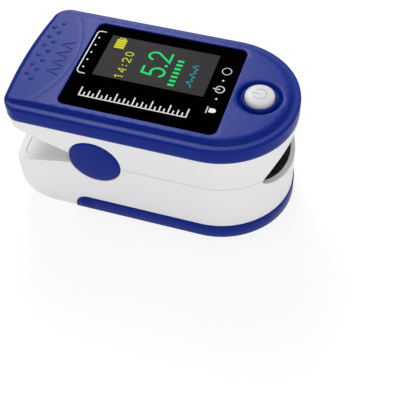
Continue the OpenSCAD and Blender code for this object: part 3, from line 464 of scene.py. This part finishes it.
# raised chevrons, and their stroke as (half width, shortening, height)
CHEVRONS, CHEVRON_Y0, CHEVRON_PITCH = 4, -4.2, 2.8
CHEVRON_TIP_X, CHEVRON_END_X, CHEVRON_HALF = -24.0, -21.1, 1.05
CHEVRON_STROKE = ((0.19, 0.0, -0.05), (0.19, 0.0, 0.03), (0.11, 0.08, 0.12))


def dish_drop(x, y):
    """Depth of the thumb rest."""
    q = (x - DISH_X) ** 2 + y * y
    if q >= DISH_R ** 2:
        return 0.0
    return math.sqrt(DISH_BALL ** 2 - q) - math.sqrt(DISH_BALL ** 2 - DISH_R ** 2)


def crease_drop(x, y):
    """Fine soft groove along the rim of the thumb rest."""
    off = (math.hypot(x - DISH_X, y) - DISH_R + CREASE_IN) / CREASE_W
    return CREASE_DEPTH * math.exp(-off * off)


def from_rear(x, y):
    """How far a point lies in front of the cover's rear edge."""
    half = HALF_W - CORNER_R
    over = min(max(abs(y) - half, 0.0), 0.98 * CORNER_R)
    bowed = REAR_X + min(abs(y), half) ** 2 / (2 * BOW_R)
    return max(x - (bowed + CORNER_R - math.sqrt(CORNER_R ** 2 - over ** 2)), 0.0)


def rear_drop(x, y):
    """Rounding of the cover's rear edge."""
    short = 1.0 - from_rear(x, y) / REAR_RUN
    return REAR_FALL * (1 - math.sqrt(1 - short ** 2)) if short > 0 else 0.0


def plateau_z(x, y):
    return TOP_Z - dish_drop(x, y) - crease_drop(x, y) - rear_drop(x, y)


def cover_rings():
    """Rings over the side wall, the shoulder, the ledge and the riser."""
    levels = [(z, d, 0.0) for z, d in SIDE_WALL]
    levels += [(LEDGE_Z - dz, d, REAR_SHARE * d - d) for dz, d in SHOULDER]
    levels += [(LEDGE_Z + dz, d, rear - d) for dz, d, rear in RISER]
    return [[(x, y, min(z, plateau_z(x, y))) for x, y in dee(d, back)] for z, d, back in levels]


def pocket_loop(off):
    return rounded_rect(WIN_X0 - off, WIN_X1 + off, -WIN_Y - off, WIN_Y + off, WIN_R + off)


def crease_points(rim, pocket):
    """Points along the rim of the thumb rest, close enough to carry its groove."""
    margin, half_turn, steps = 0.2, 33, 110
    points = []
    for off in (-1.0, -0.7, -0.45, -0.25, -0.05, 0.25):
        path = arc(DISH_X, 0, DISH_R + off, -half_turn, half_turn, steps)
        points += [p for p in path if inside(p, rim) and not inside(p, pocket)
                   and min(nearest(p, rim), nearest(p, pocket)) > margin]
    return points


def grid_points(rim, holes, crease):
    """Points over the rest of the plateau."""
    step, margin, crease_margin = 0.7, 0.4, 0.3
    half_rows = int(HALF_W / step)
    points = []
    for i in range(int(LEN / step) + 1):
        for j in range(-half_rows, half_rows + 1):
            p = (REAR_X + i * step, j * step + (step / 2 if i % 2 else 0))
            if not inside(p, rim) or any(inside(p, hole) for hole in holes):
                continue
            near = min(nearest(p, loop) for loop in (rim, *holes))
            if near > margin and nearest(p, crease) > crease_margin:
                points.append(p)
    return points


def fill_plateau(bm, rim_row, hole_rows):
    """Triangles from the rim to the holes, over points that carry the hollow of the thumb rest."""
    rows = [rim_row] + hole_rows
    owner = [v for row in rows for v in row]
    rim, *holes = [[(v.co.x, v.co.y) for v in row] for row in rows]
    edges, at = [], 0
    for row in rows:
        edges += [(at + i, at + (i + 1) % len(row)) for i in range(len(row))]
        at += len(row)
    crease = crease_points(rim, holes[0])
    points = [(v.co.x, v.co.y) for v in owner] + crease + grid_points(rim, holes, crease)
    coords, _, faces, origins, _, _ = delaunay_2d_cdt([Vector(p) for p in points], edges, [], 0, 1e-6)
    verts = []
    for co, origin in zip(coords, origins):
        on_edge = [o for o in origin if o < len(owner)]
        verts.append(owner[on_edge[0]] if on_edge else bm.verts.new((co.x, co.y, plateau_z(co.x, co.y))))
    for face in faces:
        centre = sum((coords[i] for i in face), Vector((0, 0))) / len(face)
        if inside(centre, rim) and not any(inside(centre, hole) for hole in holes):
            bm.faces.new([verts[i] for i in face])


def add_bumps(bm):
    """Low domes that sink a little into the thumb rest."""
    for from_edge, first, number in BUMP_ROWS:
        for i in range(number):
            x, y = REAR_X + from_edge, (first + i) * BUMP_PITCH
            z = plateau_z(x, y)
            dome = [[(px, py, z + h) for px, py in circle(x, y, r, 24)] for r, h in BUMP_DOME]
            bm.faces.new(skin(bm, dome)[-1])


def add_chevrons(bm):
    """Small raised chevrons that point at the squeeze end."""
    for k in range(CHEVRONS):
        y = CHEVRON_Y0 + CHEVRON_PITCH * k
        for side in (-1, 1):
            tip, end = Vector((CHEVRON_TIP_X, y)), Vector((CHEVRON_END_X, y + side * CHEVRON_HALF))
            along = (end - tip).normalized()
            across = Vector((-along.y, along.x))
            rings = []
            for w, cut, h in CHEVRON_STROKE:
                loop = [tip + across * w, end + across * w - along * cut, end - across * w - along * cut,
                        tip - across * w]
                rings.append([(p.x, p.y, plateau_z(p.x, p.y) + h) for p in loop])
            bm.faces.new(skin(bm, rings)[-1])


def top_cover():
    bm = bmesh.new()
    rim = skin(bm, cover_rings())[-1]
    pocket = skin(bm, [[(x, y, TOP_Z - dz) for x, y in pocket_loop(off)] for off, dz in POCKET])[0]
    moat = skin(bm, [[(x, y, TOP_Z - dz) for x, y in circle(BUTTON_X, 0, r, 96)] for r, dz in MOAT])[0]
    fill_plateau(bm, rim, [pocket, moat])
    bmesh.ops.recalc_face_normals(bm, faces=bm.faces)
    add_bumps(bm)
    add_chevrons(bm)
    bmesh.ops.recalc_face_normals(bm, faces=bm.faces)
    return new_object("cover_skin", bm, 38.0)


def on_rear_strip(face):
    """Faces that look up along the cover's rear edge; they get a darker blue without gloss as painted
    shade.
    """
    c = face.center / MM
    faces_up = c.z > LEDGE_Z - STRIP_DEPTH and face.normal.z > 0.05
    return faces_up and abs(c.y) < HALF_W - STRIP_MARGIN and from_rear(c.x, c.y) < STRIP_W


cover = finish_piece(top_cover(), "blue", "upper_jaw", "blue_cover", "top_cover")
# the rear-edge strip gets the darker blue: painted shade
cover.data.materials.append(MATERIALS["blue_painted_shade"])
for face in cover.data.polygons:
    if on_rear_strip(face):
        face.material_index = 1


# ---- window, screen and printed marks ----
INK_Z = PLATE_Z + 0.012
LIT_Z = INK_Z + 0.01
SCREEN = (-13.9, 10.95, -3.05, 9.75)                 # from x to x, from y to y


def window_plate():
    """Flat plate with a slightly rounded upper rim."""
    thick, edge = 0.95, 0.12
    rings = []
    for inset, drop in ((0, thick), (0, edge), (edge * 0.3, edge * 0.3), (edge, 0)):
        rings.append([(x, y, PLATE_Z - drop) for x, y in pocket_loop(-inset)])
    return block("window_plate", rings, 30.0)


finish_piece(window_plate(), "window", "upper_jaw", "window", "display_lens")


def flat(name, shapes, z, mat, slot):
    """Thin printed shapes: each is a loop of (x, y) points, laid flat at z."""
    bm = bmesh.new()
    for loop in shapes:
        bm.faces.new([bm.verts.new((x, y, z)) for x, y in loop])
    bmesh.ops.triangulate(bm, faces=bm.faces)
    for f in bm.faces:
        if f.normal.z < 0:
            f.normal_flip()
    finish_piece(new_object(name, bm), mat, "upper_jaw", slot)


def line(points, width):
    """Shapes of a stroke that follows points; a path that returns to its start gives a ring."""
    pts = [Vector(p) for p in points]
    ring = (pts[0] - pts[-1]).length < 1e-6
    if ring:
        pts = pts[:-1]
    n = len(pts)
    left, right = [], []
    for i, p in enumerate(pts):
        a = pts[i - 1] if i or ring else p
        b = pts[(i + 1) % n] if i < n - 1 or ring else p
        d0 = (p - a).normalized() if (p - a).length else (b - p).normalized()
        d1 = (b - p).normalized() if (b - p).length else d0
        t = (d0 + d1).normalized()
        side = Vector((-t.y, t.x)) * (width / 2 / max(t.dot(d1), 0.5))
        left.append(p + side)
        right.append(p - side)
    pairs = [(i, (i + 1) % n) for i in range(n if ring else n - 1)]
    loops = [[left[i], left[j], right[j], right[i]] for i, j in pairs]
    if not ring:
        for p, q in ((pts[0], pts[1]), (pts[-1], pts[-2])):
            a = math.degrees(math.atan2(p.y - q.y, p.x - q.x))
            loops.append(arc(p.x, p.y, width / 2, a - 90, a + 90, 8))
    return loops


def dot(x, y, r):
    return [circle(x, y, r, 20)]


def bar(x0, x1, y0, y1):
    return [rectangle(x0, x1, y0, y1)]


def glyph(cx, cy, strokes, w, h, width):
    """Strokes in reading directions: u to the right (+Y), v upwards (-X)."""
    loops = []
    for stroke in strokes:
        loops += line([(cx - (v - 0.5) * h, cy + (u - 0.5) * w) for u, v in stroke], width)
    return loops


def bow(cu, cv, ru, rv, a0, a1, n=18):
    """Oval stretch of a stroke."""
    turns = [a0 + (a1 - a0) * i / n for i in range(n + 1)]
    return [(cu + ru * cos(a), cv + rv * sin(a)) for a in turns]


DIGITS = {
    0: [bow(0.5, 0.5, 0.42, 0.5, -90, 270, 22)],
    1: [[(0.2, 0.8), (0.55, 1.0), (0.55, 0.0)]],
    2: [bow(0.5, 0.72, 0.42, 0.28, 165, -35) + [(0.06, 0.0), (0.98, 0.0)]],
    4: [[(0.75, 0.0), (0.75, 1.0), (0.05, 0.3), (0.62, 0.3)]],
    5: [[(0.9, 1.0), (0.22, 1.0), (0.12, 0.58)] + bow(0.48, 0.31, 0.46, 0.31, 120, -150)],
}


def bracket_marks():
    """Bracket with its dots, along the side of the window away from the scale."""
    path = [(-15.75, 10.25), (-16.8, 10.25), (-17.3, 10.08), (-17.52, 9.55), (-17.55, -2.2),
            (-17.4, -2.85), (-16.9, -3.25), (-15.6, -3.3)]
    shapes = line(path, 0.24)
    for y in (8.1, 5.7, 3.3, 0.95, -1.4):
        shapes += dot(-16.6, y, 0.22)
    return shapes


def sign_marks():
    """Row of small signs by the button: ring, power sign and fingertip, with dots between."""
    power_x, power_y, nail_x = 13.7, -0.1, 12.75
    shapes = line(arc(13.65, 5.5, 1.0, 0, 360, 28), 0.14)
    shapes += dot(13.65, 2.6, 0.22) + dot(13.75, -2.9, 0.22)
    shapes += line(arc(power_x, power_y, 0.95, 205, 515, 24), 0.2)
    shapes += line([(12.3, power_y), (power_x, power_y)], 0.22)
    shapes.append([(13.2, -5.75), (14.2, -5.75), (14.6, -6.0), (14.72, -6.35), (14.6, -6.7),
                   (14.2, -6.95), (13.2, -6.95)])
    return shapes + line([(nail_x, -5.45), (nail_x, -7.25)], 0.2)


def scale_marks():
    """Plain graduated scale in place of a title."""
    x0, x1, steps, half_tick = -14.35, 9.25, 24, 0.14
    tick_y, base_y0, base_y1 = -9.45, -9.75, -9.5
    shapes = []
    for i in range(steps + 1):
        x = x0 + i * (x1 - x0) / steps
        tall = 2.3 if i % 4 == 0 else 1.45 if i % 2 == 0 else 0.95
        shapes += bar(x - half_tick, x + half_tick, tick_y, tick_y + tall)
    return shapes + bar(x0 - half_tick, x1 + half_tick, base_y0, base_y1)


def reading():
    """The large number, and the level as a plain row of short bars."""
    digit_x, digit_w, digit_h = -1.5, 2.75, 4.9
    bars, bar_y0, bar_pitch, bar_w = 7, -1.9, 1.22, 0.62
    shapes = glyph(digit_x, 1.25, DIGITS[5], digit_w, digit_h, 0.52)
    shapes += glyph(digit_x, 5.9, DIGITS[2], digit_w, digit_h, 0.5)
    shapes += dot(0.62, 3.5, 0.36)
    for i in range(bars):
        y = bar_y0 + i * bar_pitch
        shapes += bar(2.6, 4.0, y, y + bar_w)
    return shapes


def status():
    """Charge sign and a plain clock time."""
    cells, cell_y0, cell_pitch, cell_w = 4, 6.05, 0.74, 0.6
    shapes = bar(-12.1, -10.5, 9.05, 9.35)
    for i in range(cells):
        y = cell_y0 + i * cell_pitch
        shapes += bar(-12.45, -10.15, y, y + cell_w)
    clock_x, colon_y = -8.25, 1.35
    for y, digit in ((-2.1, 1), (-0.2, 4), (2.95, 2), (4.95, 0)):
        shapes += glyph(clock_x, y, DIGITS[digit], 1.3, 1.75, 0.24)
    return shapes + dot(-8.6, colon_y, 0.17) + dot(-7.7, colon_y, 0.17)


def pulse_wave():
    """Three beats: each rises to a peak between two lower points."""
    path = [(7.5, -1.2), (7.2, -0.4), (6.2, 0.1), (7.4, 0.6), (7.0, 1.3), (7.5, 1.9), (6.2, 2.5),
            (7.4, 3.1), (7.0, 3.7), (7.5, 4.3), (6.2, 4.9), (7.4, 5.5)]
    return line(path, 0.26)


flat("screen_face", bar(*SCREEN), INK_Z, "screen", "screen")
flat("window_marks", bracket_marks() + sign_marks() + scale_marks(), LIT_Z, "ink", "window")
flat("screen_reading", reading(), LIT_Z, "green", "screen")
flat("screen_status", status(), LIT_Z, "yellow", "screen")
flat("screen_wave", pulse_wave(), LIT_Z, "teal", "screen")


# ---- button ----
BUTTON_R, FLANGE_R, FLANGE_Z, FLANGE_T = 3.2, 3.9, 27.6, 0.45
SIGN_H, SIGN_R = 0.05, 1.4                           # the raised sign ends just under the CAD's top
CAP_Z = BUTTON_TOP - SIGN_H
CROWN_R, CROWN_FALL = 2.3, 0.11
# edge of the button, from its side up to the crown: (distance in from the side, depth under the top)
BUTTON_EDGE = ((0.0, 0.78), (0.05, 0.58), (0.17, 0.4), (0.36, 0.27), (0.6, 0.185))


def button_z(x, y):
    r = math.hypot(x - BUTTON_X, y)
    return CAP_Z - CROWN_FALL * (r / CROWN_R) ** 2


def button_cap():
    profile = [(0.0, FLANGE_Z), (FLANGE_R, FLANGE_Z), (FLANGE_R, FLANGE_Z + FLANGE_T),
               (BUTTON_R, FLANGE_Z + FLANGE_T + 0.05)]
    profile += [(BUTTON_R - off, CAP_Z - drop) for off, drop in BUTTON_EDGE]
    profile += [(CROWN_R, CAP_Z - CROWN_FALL), (1.6, CAP_Z - 0.05), (0.8, CAP_Z - 0.012), (0.0, CAP_Z)]
    return turned("button_cap", (BUTTON_X, 0, 0), profile)


def raised(name, points, width=0.42):
    """Low rounded ridge along a path on the button's crown."""
    section = ((-0.5, -0.03), (-0.42, 0.6), (-0.2, 0.95), (0.2, 0.95), (0.42, 0.6), (0.5, -0.03))
    rings = []
    last = len(points) - 1
    for i, (px, py) in enumerate(points):
        (ax, ay), (bx, by) = points[max(i - 1, 0)], points[min(i + 1, last)]
        n = Vector((ay - by, bx - ax)).normalized()
        ring = []
        for k, lift in section:
            x, y = px + n.x * width * k, py + n.y * width * k
            ring.append((x, y, button_z(x, y) + SIGN_H * lift))
        rings.append(ring)
    bm = bmesh.new()
    rows = skin(bm, rings, closed=False)
    bm.faces.new(rows[0])
    bm.faces.new(rows[-1])
    bmesh.ops.recalc_face_normals(bm, faces=bm.faces)
    finish_piece(new_object(name, bm, 50.0), "mark", "button", "button")


finish_piece(button_cap(), "button", "button", "button", "power_button")
raised("button_sign_ring", arc(BUTTON_X, 0, SIGN_R, 215, 505, 36))
raised("button_sign_bar", [(BUTTON_X - 2.0 + 0.3 * i, 0.0) for i in range(7)])


# ---- what both shells share ----
CAP_ROOM_R, CAP_ROOM_DEPTH = CAP_R + 0.2, 3
CAP_SEAT_Y = WALL_Y - 0.01
EDGE_R = 0.22                                        # rounding of the outer edges
BORE_R = SCREW_HEAD_R + FIT


def up_slope(x):
    """Underside of the upper jaw, which rises behind the hinge."""
    s = PIVOT_X - x
    bowed = s * s / (2 * SLOPE_BOW) if s > 0 else 0
    return max(PARTING + PARTING_GAP, PIVOT_Z - APEX_UP + s * tan(SLOPE_UP) + bowed)


def low_slope(x):
    """Top of the lower jaw behind the hinge."""
    return min(PARTING, PIVOT_Z - APEX_LOW - (PIVOT_X - x) * tan(SLOPE_LOW))


def mirrored(side, y0, y1):
    return sorted((side * y0, side * y1))


def carve_cap_seat(shell, side):
    """Round recess in a side wall for the hinge cap."""
    y = CAP_SEAT_Y if side > 0 else -CAP_SEAT_Y - CAP_ROOM_DEPTH
    carve(shell, rod("cut", (PIVOT_X, y, PIVOT_Z), CAP_ROOM_R, CAP_ROOM_DEPTH, "y", 128))


def edge_gap(m, loop):
    """Distance from a point to an outline, in plan."""
    return nearest((m.x, m.y), loop)


# ---- upper shell ----
SLOPE_AHEAD, SLOPE_RUN, SLOPE_STEPS = 6.0, 28.0, 36
SCREW_CORNER, SCREW_AHEAD = 5.6, 16.4                # in from the rear corner; in front of the axis
UNDER_JAW, COLUMN_TOP = 10, BOARD_Z - 1


def under_slope():
    """Profile of all that lies under the upper jaw."""
    xs = [PIVOT_X + SLOPE_AHEAD - i * SLOPE_RUN / SLOPE_STEPS for i in range(SLOPE_STEPS + 1)]
    return [(FAR, 0), (FAR, PARTING + PARTING_GAP)] + [(x, up_slope(x)) for x in xs] + [(xs[-1], 0)]


def upper_shell():
    shell = prism_z("upper_shell_skin", dee(SHELL_INSET), PARTING - 1, COVER_Z)
    carve(shell, prism_y("cut", under_slope()))
    carve(shell, rod("cut", (STOP_X, 0, ARCH_Z), ARCH_R, FAR, "x", 144))
    pocket = rectangle(PIVOT_X - POCKET_R, PIVOT_X + POCKET_R, UNDER_JAW, COLUMN_TOP)
    screws = (
        (REAR_X + SCREW_CORNER, HALF_W - SCREW_CORNER), (PIVOT_X + SCREW_AHEAD, WALL_Y - SCREW_HEAD_R))
    for side in (-1, 1):
        # pockets that the ears swing in, either side of each rib
        for y0, y1 in ((PIN_IN_Y - 0.4, EAR_Y), (EAR_Y + EAR_T, WALL_Y)):
            carve(shell, prism_y("cut", pocket, *mirrored(side, y0, y1)))
        carve_cap_seat(shell, side)
        for x, y in screws:
            seat = up_slope(x) + WALL + SCREW_HEAD_T + 0.3 if x < PIVOT_X else COLUMN_TOP
            carve(shell, rod("cut", (x, side * y, UNDER_JAW), BORE_R, seat - UNDER_JAW, "z", 32))
    room = 2 * FIT
    sensor = rectangle(SENSOR_X[0] - room, SENSOR_X[1] + room, -SENSOR_Y - room, SENSOR_Y + room)
    carve(shell, prism_z("cut", sensor, PARTING, FAR))
    outline = dense(dee(SHELL_INSET))
    soften(shell, EDGE_R, lambda m: m.z < COVER_Z - 0.5 and edge_gap(m, outline) < 0.06)
    return shell


finish_piece(upper_shell(), "white", "upper_jaw", "white_shell", "upper_shell")


def band_tip(r, step):
    """Rounded tip of the tray's band, from its rear up, as (x, z) points."""
    x, z = BAND_X + TIP_R, BAND_H - TIP_R
    return [(x + r * cos(a), z + r * sin(a)) for a in range(180, 89, -step)]


# ---- lower shell ----
HEEL_R, HEEL_STEPS, HEEL_CORNER = 5.0, 10, 2.6       # the foot's rounding at the rear, and its corners
BAY_FLOOR, BAY_Y = BAND_T + FIT, CELL_Y + 2.5 * FIT
FRAME_Z = 12.0 - 0.01                                # seat of the inner frame, cut a hair deeper
LOWER_HEAD_Z = 7.4                                   # seat of the lower screws' heads
RAIL_Z, GROOVE_Z = (2.36, 3.16), (2.2, 3.31)         # the tray's rails and the grooves that they run in
RAIL_X0, RAIL_X1 = BAND_X + TIP_R + 0.4, 10.7
RAIL_Y, GROOVE_Y = (14.85, 15.9), (WALL_Y - FIT, WALL_Y + 1.9)
LIP_Y, LIP_DEPTH = CHANNEL_Y - 0.75 * LIP_H, TROUGH_H - LIP_H
TROUGH_STEPS = 48


def heel_rings():
    """Outlines from the rounded foot to over the jaw."""
    levels = []
    for i in range(HEEL_STEPS + 1):
        a = 90 * i / HEEL_STEPS
        back = 1 - sin(a)
        levels.append((HEEL_R * (1 - cos(a)), HEEL_R * back, TAIL_R + HEEL_CORNER * back ** 1.5))
    levels.append((OVER_JAW, 0, TAIL_R))
    return [[(x, y, z) for x, y in dee(SHELL_INSET, back - SHELL_INSET, r)] for z, back, r in levels]


def carve_tray_room(shell):
    """Room for the tray's band and floor, ahead of its rounded tip."""
    tip = band_tip(TIP_R + TRAY_GAP, 6)
    room = prism_y("cut", [(FAR, -1), (BAND_X - TRAY_GAP, -1)] + tip + [(FAR, BAND_H + TRAY_GAP)])
    carve(room, prism_z("cut", dee(BAND_T + TRAY_GAP), BAY_FLOOR, BAY_CUT_Z))
    carve(shell, room)


def carve_bays(shell):
    """The slope behind the hinge, the room for the inner frame and the battery bay."""
    kink, behind = PIVOT_X - (PIVOT_Z - APEX_LOW - PARTING) / tan(SLOPE_LOW), REAR_X - 1
    above = [(FAR, FAR), (FAR, PARTING), (kink, PARTING), (behind, low_slope(behind)), (behind, FAR)]
    carve(shell, prism_y("cut", above))
    carve(shell, prism_z("cut", dee(SHELL_IN), FRAME_Z, FAR_Z))
    carve(shell, prism_z("cut", rectangle(BAY_X0, BAY_X1, -BAY_Y, BAY_Y), BAY_FLOOR, BAY_CUT_Z))


def trough_section(half_w, depth):
    """Half oval under the parting, open upwards, as (y, z) points."""
    turns = [180 + 180 * i / TROUGH_STEPS for i in range(TROUGH_STEPS + 1)]
    oval = [(half_w * cos(a), PARTING + depth * sin(a)) for a in turns]
    return oval + [(half_w, OVER_JAW), (-half_w, OVER_JAW)]


def carve_trough(shell):
    """Finger trough: narrower at the lip, wide behind it, and the bevel between."""
    narrow, wide = [
        block("cut", [[(x, y, z) for y, z in trough_section(half_w, depth)] for x in (STOP_X, FAR)])
        for half_w, depth in ((LIP_Y, LIP_DEPTH), (CHANNEL_Y, TROUGH_H))]
    carve(wide, prism_z("keep", dee(SHELL_INSET + LIP_RUN), 0, FAR_Z), "INTERSECT")
    carve(shell, narrow)
    carve(shell, wide)
    rows = []
    for i in range(TROUGH_STEPS + 1):
        a = 180 * i / TROUGH_STEPS
        y, lip_y = CHANNEL_Y * cos(a), LIP_Y * cos(a)
        outer = Vector((front_x(y, SHELL_INSET), y, PARTING - TROUGH_H * sin(a)))
        inner = Vector((front_x(lip_y, SHELL_INSET + LIP_RUN), lip_y, PARTING - LIP_DEPTH * sin(a)))
        reach = outer + (outer - inner) * 0.3
        rows.append([reach, inner, (inner.x, inner.y, PARTING + 1), (reach.x, reach.y, PARTING + 1)])
    carve(shell, block("cut", rows))


def lower_shell():
    shell = block("lower_shell_skin", heel_rings())
    carve_tray_room(shell)
    carve_bays(shell)
    groove = rectangle(RAIL_X0 - TRAY_GAP, FAR, *GROOVE_Z)
    screw_y = WALL_Y - FIT - SCREW_HEAD_R
    for side in (-1, 1):
        carve_cap_seat(shell, side)
        carve(shell, prism_y("cut", groove, *mirrored(side, *GROOVE_Y)))
        for x, y in ((STOP_X + SCREW_HEAD_R, screw_y), (FLANK_X + 2, screw_y - 0.6)):
            carve(shell, rod("cut", (x, side * y, -1), BORE_R, LOWER_HEAD_Z + 1, "z", 32))
    outline = dense(dee(SHELL_INSET, -SHELL_INSET, TAIL_R))
    soften(shell, EDGE_R, lambda m: HEEL_R < m.z and m.x < 26 and edge_gap(m, outline) < 0.08)
    carve_trough(shell)
    shade(shell, 40.0)
    return shell


def on_bevel(face):
    """The bevel of the trough's lip."""
    c, n = face.center / MM, face.normal
    outer = (c.y / CHANNEL_Y) ** 2 + ((PARTING - c.z) / TROUGH_H) ** 2
    inner = (c.y / LIP_Y) ** 2 + ((PARTING - c.z) / LIP_DEPTH) ** 2
    return c.x > 20 and c.z < PARTING and outer < 1.01 and inner > 1.003 and n.x > 0.02 and n.z > 0.02


def on_rear_rim(face):
    """Faces of the rim that the wedge behind the hinge shows which look up; they get a darker white as
    painted shade.
    """
    c = face.center / MM
    return face.normal.z > 0.8 and c.x < PIVOT_X and c.z > 8


lower = finish_piece(lower_shell(), "white", "lower_jaw", "white_shell", "lower_shell")
lower.data.materials.append(MATERIALS["lip"])
# the rim's upward faces get the darker white: painted shade
lower.data.materials.append(MATERIALS["rim"])
for face in lower.data.polygons:
    face.material_index = 1 if on_bevel(face) else 2 if on_rear_rim(face) else 0


# ---- battery cover ----
# outer edge, from the foot to the band's rim: (height, inset)
TRAY_EDGE = (
    (0.0, 0.25), (0.06, 0.07), (0.25, 0.0), (BAND_H - 0.22, 0.0), (BAND_H - 0.06, 0.06), (BAND_H, 0.22))
# grip grooves under the floor
GRIPS, GRIP_X, GRIP_Y, GRIP_W, GRIP_PITCH, GRIP_DEPTH = 6, BUTTON_X - 14, 6, 0.8, 1.6, 0.4


def battery_cover():
    tray = block("battery_cover_skin", [[(x, y, z) for x, y in dee(d)] for z, d in TRAY_EDGE])
    carve(tray, prism_z("cut", dee(BAND_T + 0.05), BAND_T, BAY_CUT_Z))
    keep = [(FAR, -1), (BAND_X, -1)] + band_tip(TIP_R, 5) + [(FAR, BAND_H + 0.001)]
    carve(tray, prism_y("keep", keep), "INTERSECT")
    for i in range(GRIPS):
        x = GRIP_X + GRIP_PITCH * i
        carve(tray, prism_z("cut", rectangle(x, x + GRIP_W, -GRIP_Y, GRIP_Y), -1, GRIP_DEPTH))
    for side in (-1, 1):
        rail = rectangle(RAIL_X0, RAIL_X1, *mirrored(side, *RAIL_Y))
        carve(tray, prism_z("add", rail, *RAIL_Z), "UNION")
    return tray


finish_piece(battery_cover(), "blue", "sliding_cover", "blue_cover", "battery_cover")


# ---- round side caps ----
PIN_SEAT_R, BORE_DEPTH = 1.22, 0.75
CAP_EDGE = ((0.0, 0.8), (0.05, 0.95), (0.2, 1.07), (0.45, 1.12))    # (distance in from the rim, height)


def side_cap(name, side):
    profile = [(0.0, BORE_DEPTH), (PIN_SEAT_R, BORE_DEPTH), (PIN_SEAT_R, 0.0), (CAP_R, 0.0)]
    profile += [(CAP_R - off, z) for off, z in CAP_EDGE]
    profile += [(3.5, 1.165), (1.5, 1.19), (0.0, 1.195)]
    return turned("side_cap_" + name, (PIVOT_X, side * CAP_Y, PIVOT_Z), profile, "y", 128, side)


for side, name in ((1, "left"), (-1, "right")):
    finish_piece(side_cap(name, side), "blue", "lower_jaw", "blue_cover", "hinge_cap_" + name)


# ---- CAD nodes that keep their own shape ----
CARRIED = {
    # the frame's material is a darker copy of the white: painted shade
    "frame": ("lower_frame", "display_bracket"),
    "screen": ("display_module",),
    "board": ("main_board", "emitter_board"),
    "chip": ("controller_chip", "tact_switch"),
    "sensor": ("photodiode",),
    "led": ("emitter_led",),
    "red": ("switch_plunger", "upper_leads", "lower_leads"),
    "silicone": ("upper_finger_pad", "lower_finger_pad"),
    "steel": ("upper_screws", "lower_screws", "hinge_pin_left", "hinge_pin_right", "torsion_spring_left",
              "torsion_spring_right", "battery_bridge_contact", "battery_positive_contact",
              "battery_negative_contact"),
    "can": ("battery_left", "battery_right"),
}
for mat, carried_nodes in CARRIED.items():
    for node in carried_nodes:
        for material_slot in frame["nodes"][node].material_slots:
            material_slot.material = MATERIALS[mat]


# ---- floor and world ----
def seen_share(tree, share):
    """Share of a ray that meets plain white: camera, glossy and transmission rays alike."""
    path = tree.nodes.new("ShaderNodeLightPath")
    camera_or_glossy = tree.nodes.new("ShaderNodeMath")
    tree.links.new(path.outputs["Is Camera Ray"], camera_or_glossy.inputs[0])
    tree.links.new(path.outputs["Is Glossy Ray"], camera_or_glossy.inputs[1])
    any_of_them = tree.nodes.new("ShaderNodeMath")
    any_of_them.use_clamp = True
    tree.links.new(camera_or_glossy.outputs["Value"], any_of_them.inputs[0])
    tree.links.new(path.outputs["Is Transmission Ray"], any_of_them.inputs[1])
    part = tree.nodes.new("ShaderNodeMath")
    part.operation = "MULTIPLY"
    part.inputs[1].default_value = share
    tree.links.new(any_of_them.outputs["Value"], part.inputs[0])
    return part.outputs["Value"]


def mix_in(tree, share, plain, seen, surface):
    """Shows one shader to the rays that seen_share() picks, and the plain one to the rest."""
    mix = tree.nodes.new("ShaderNodeMixShader")
    tree.links.new(seen_share(tree, share), mix.inputs["Fac"])
    tree.links.new(plain, mix.inputs[1])
    tree.links.new(seen, mix.inputs[2])
    tree.links.new(mix.outputs["Shader"], surface)


def white_floor(half_size=3.0, share=0.82):
    """Pale floor that looks nearly white and keeps the object's shadow."""
    bm = bmesh.new()
    bmesh.ops.create_grid(bm, x_segments=2, y_segments=2, size=half_size)
    me = bpy.data.meshes.new("floor")
    bm.to_mesh(me)
    bm.free()
    floor = bpy.data.objects.new("floor", me)
    bpy.context.scene.collection.objects.link(floor)
    pale = material("floor_white", [0.95, 0.95, 0.95], 0.9, 0.0, tint=0.0)
    nodes = pale.node_tree.nodes
    glow = nodes.new("ShaderNodeEmission")
    glow.inputs["Strength"].default_value = 1.0
    mix_in(pale.node_tree, share, nodes["Principled BSDF"].outputs["BSDF"], glow.outputs["Emission"],
           nodes["Material Output"].inputs["Surface"])
    floor.data.materials.append(pale)


def white_world(strength=0.58):
    """Even white light, in front of a plain white background."""
    world = bpy.data.worlds.new("world")
    bpy.context.scene.world = world
    world.use_nodes = True
    nodes = world.node_tree.nodes
    light, white = nodes["Background"], nodes.new("ShaderNodeBackground")
    for background, level in ((light, strength), (white, 1.0)):
        background.inputs["Color"].default_value = (1, 1, 1, 1)
        background.inputs["Strength"].default_value = level
    mix_in(world.node_tree, 1.0, light.outputs["Background"], white.outputs["Background"],
           nodes["World Output"].inputs["Surface"])


def area_light(name, pos, target, size, watts):
    data = bpy.data.lights.new(name, "AREA")
    data.shape, data.size, data.energy = "SQUARE", size, watts
    obj = bpy.data.objects.new(name, data)
    bpy.context.scene.collection.objects.link(obj)
    obj.location = pos
    obj.rotation_euler = (Vector(target) - Vector(pos)).to_track_quat("-Z", "Y").to_euler()


white_floor()
white_world()
area_light("softbox", (-0.16, 0.31, 0.37), (0, 0, 0.03), 0.2, 1.65)
area_light("fill", (0.2, -0.42, 0.3), (0, 0, 0.02), 0.4, 0.95)


# ---- camera, fitted to the photograph's two copies of the housing ----
IMAGE_PX, FOCAL_PX, SENSOR_W = 400, 856.21, 36.0
RIGHT = Vector((0.95442, 0.29747, -0.02457))
DOWN = Vector((0.22081, -0.75908, -0.6124))
AHEAD = Vector((-0.20082, 0.57907, -0.79016))
EYE = Vector((0.050806, -0.122581, 0.157711))


def add_camera():
    data = bpy.data.cameras.new("camera")
    data.sensor_width = SENSOR_W
    data.lens = FOCAL_PX / IMAGE_PX * SENSOR_W
    data.clip_start = 0.01
    camera = bpy.data.objects.new("camera", data)
    bpy.context.scene.collection.objects.link(camera)
    place = Matrix((RIGHT, -DOWN, -AHEAD)).transposed().to_4x4()
    place.translation = EYE
    camera.matrix_world = place
    bpy.context.scene.camera = camera


add_camera()
bpy.context.scene.view_settings.view_transform = "Standard"
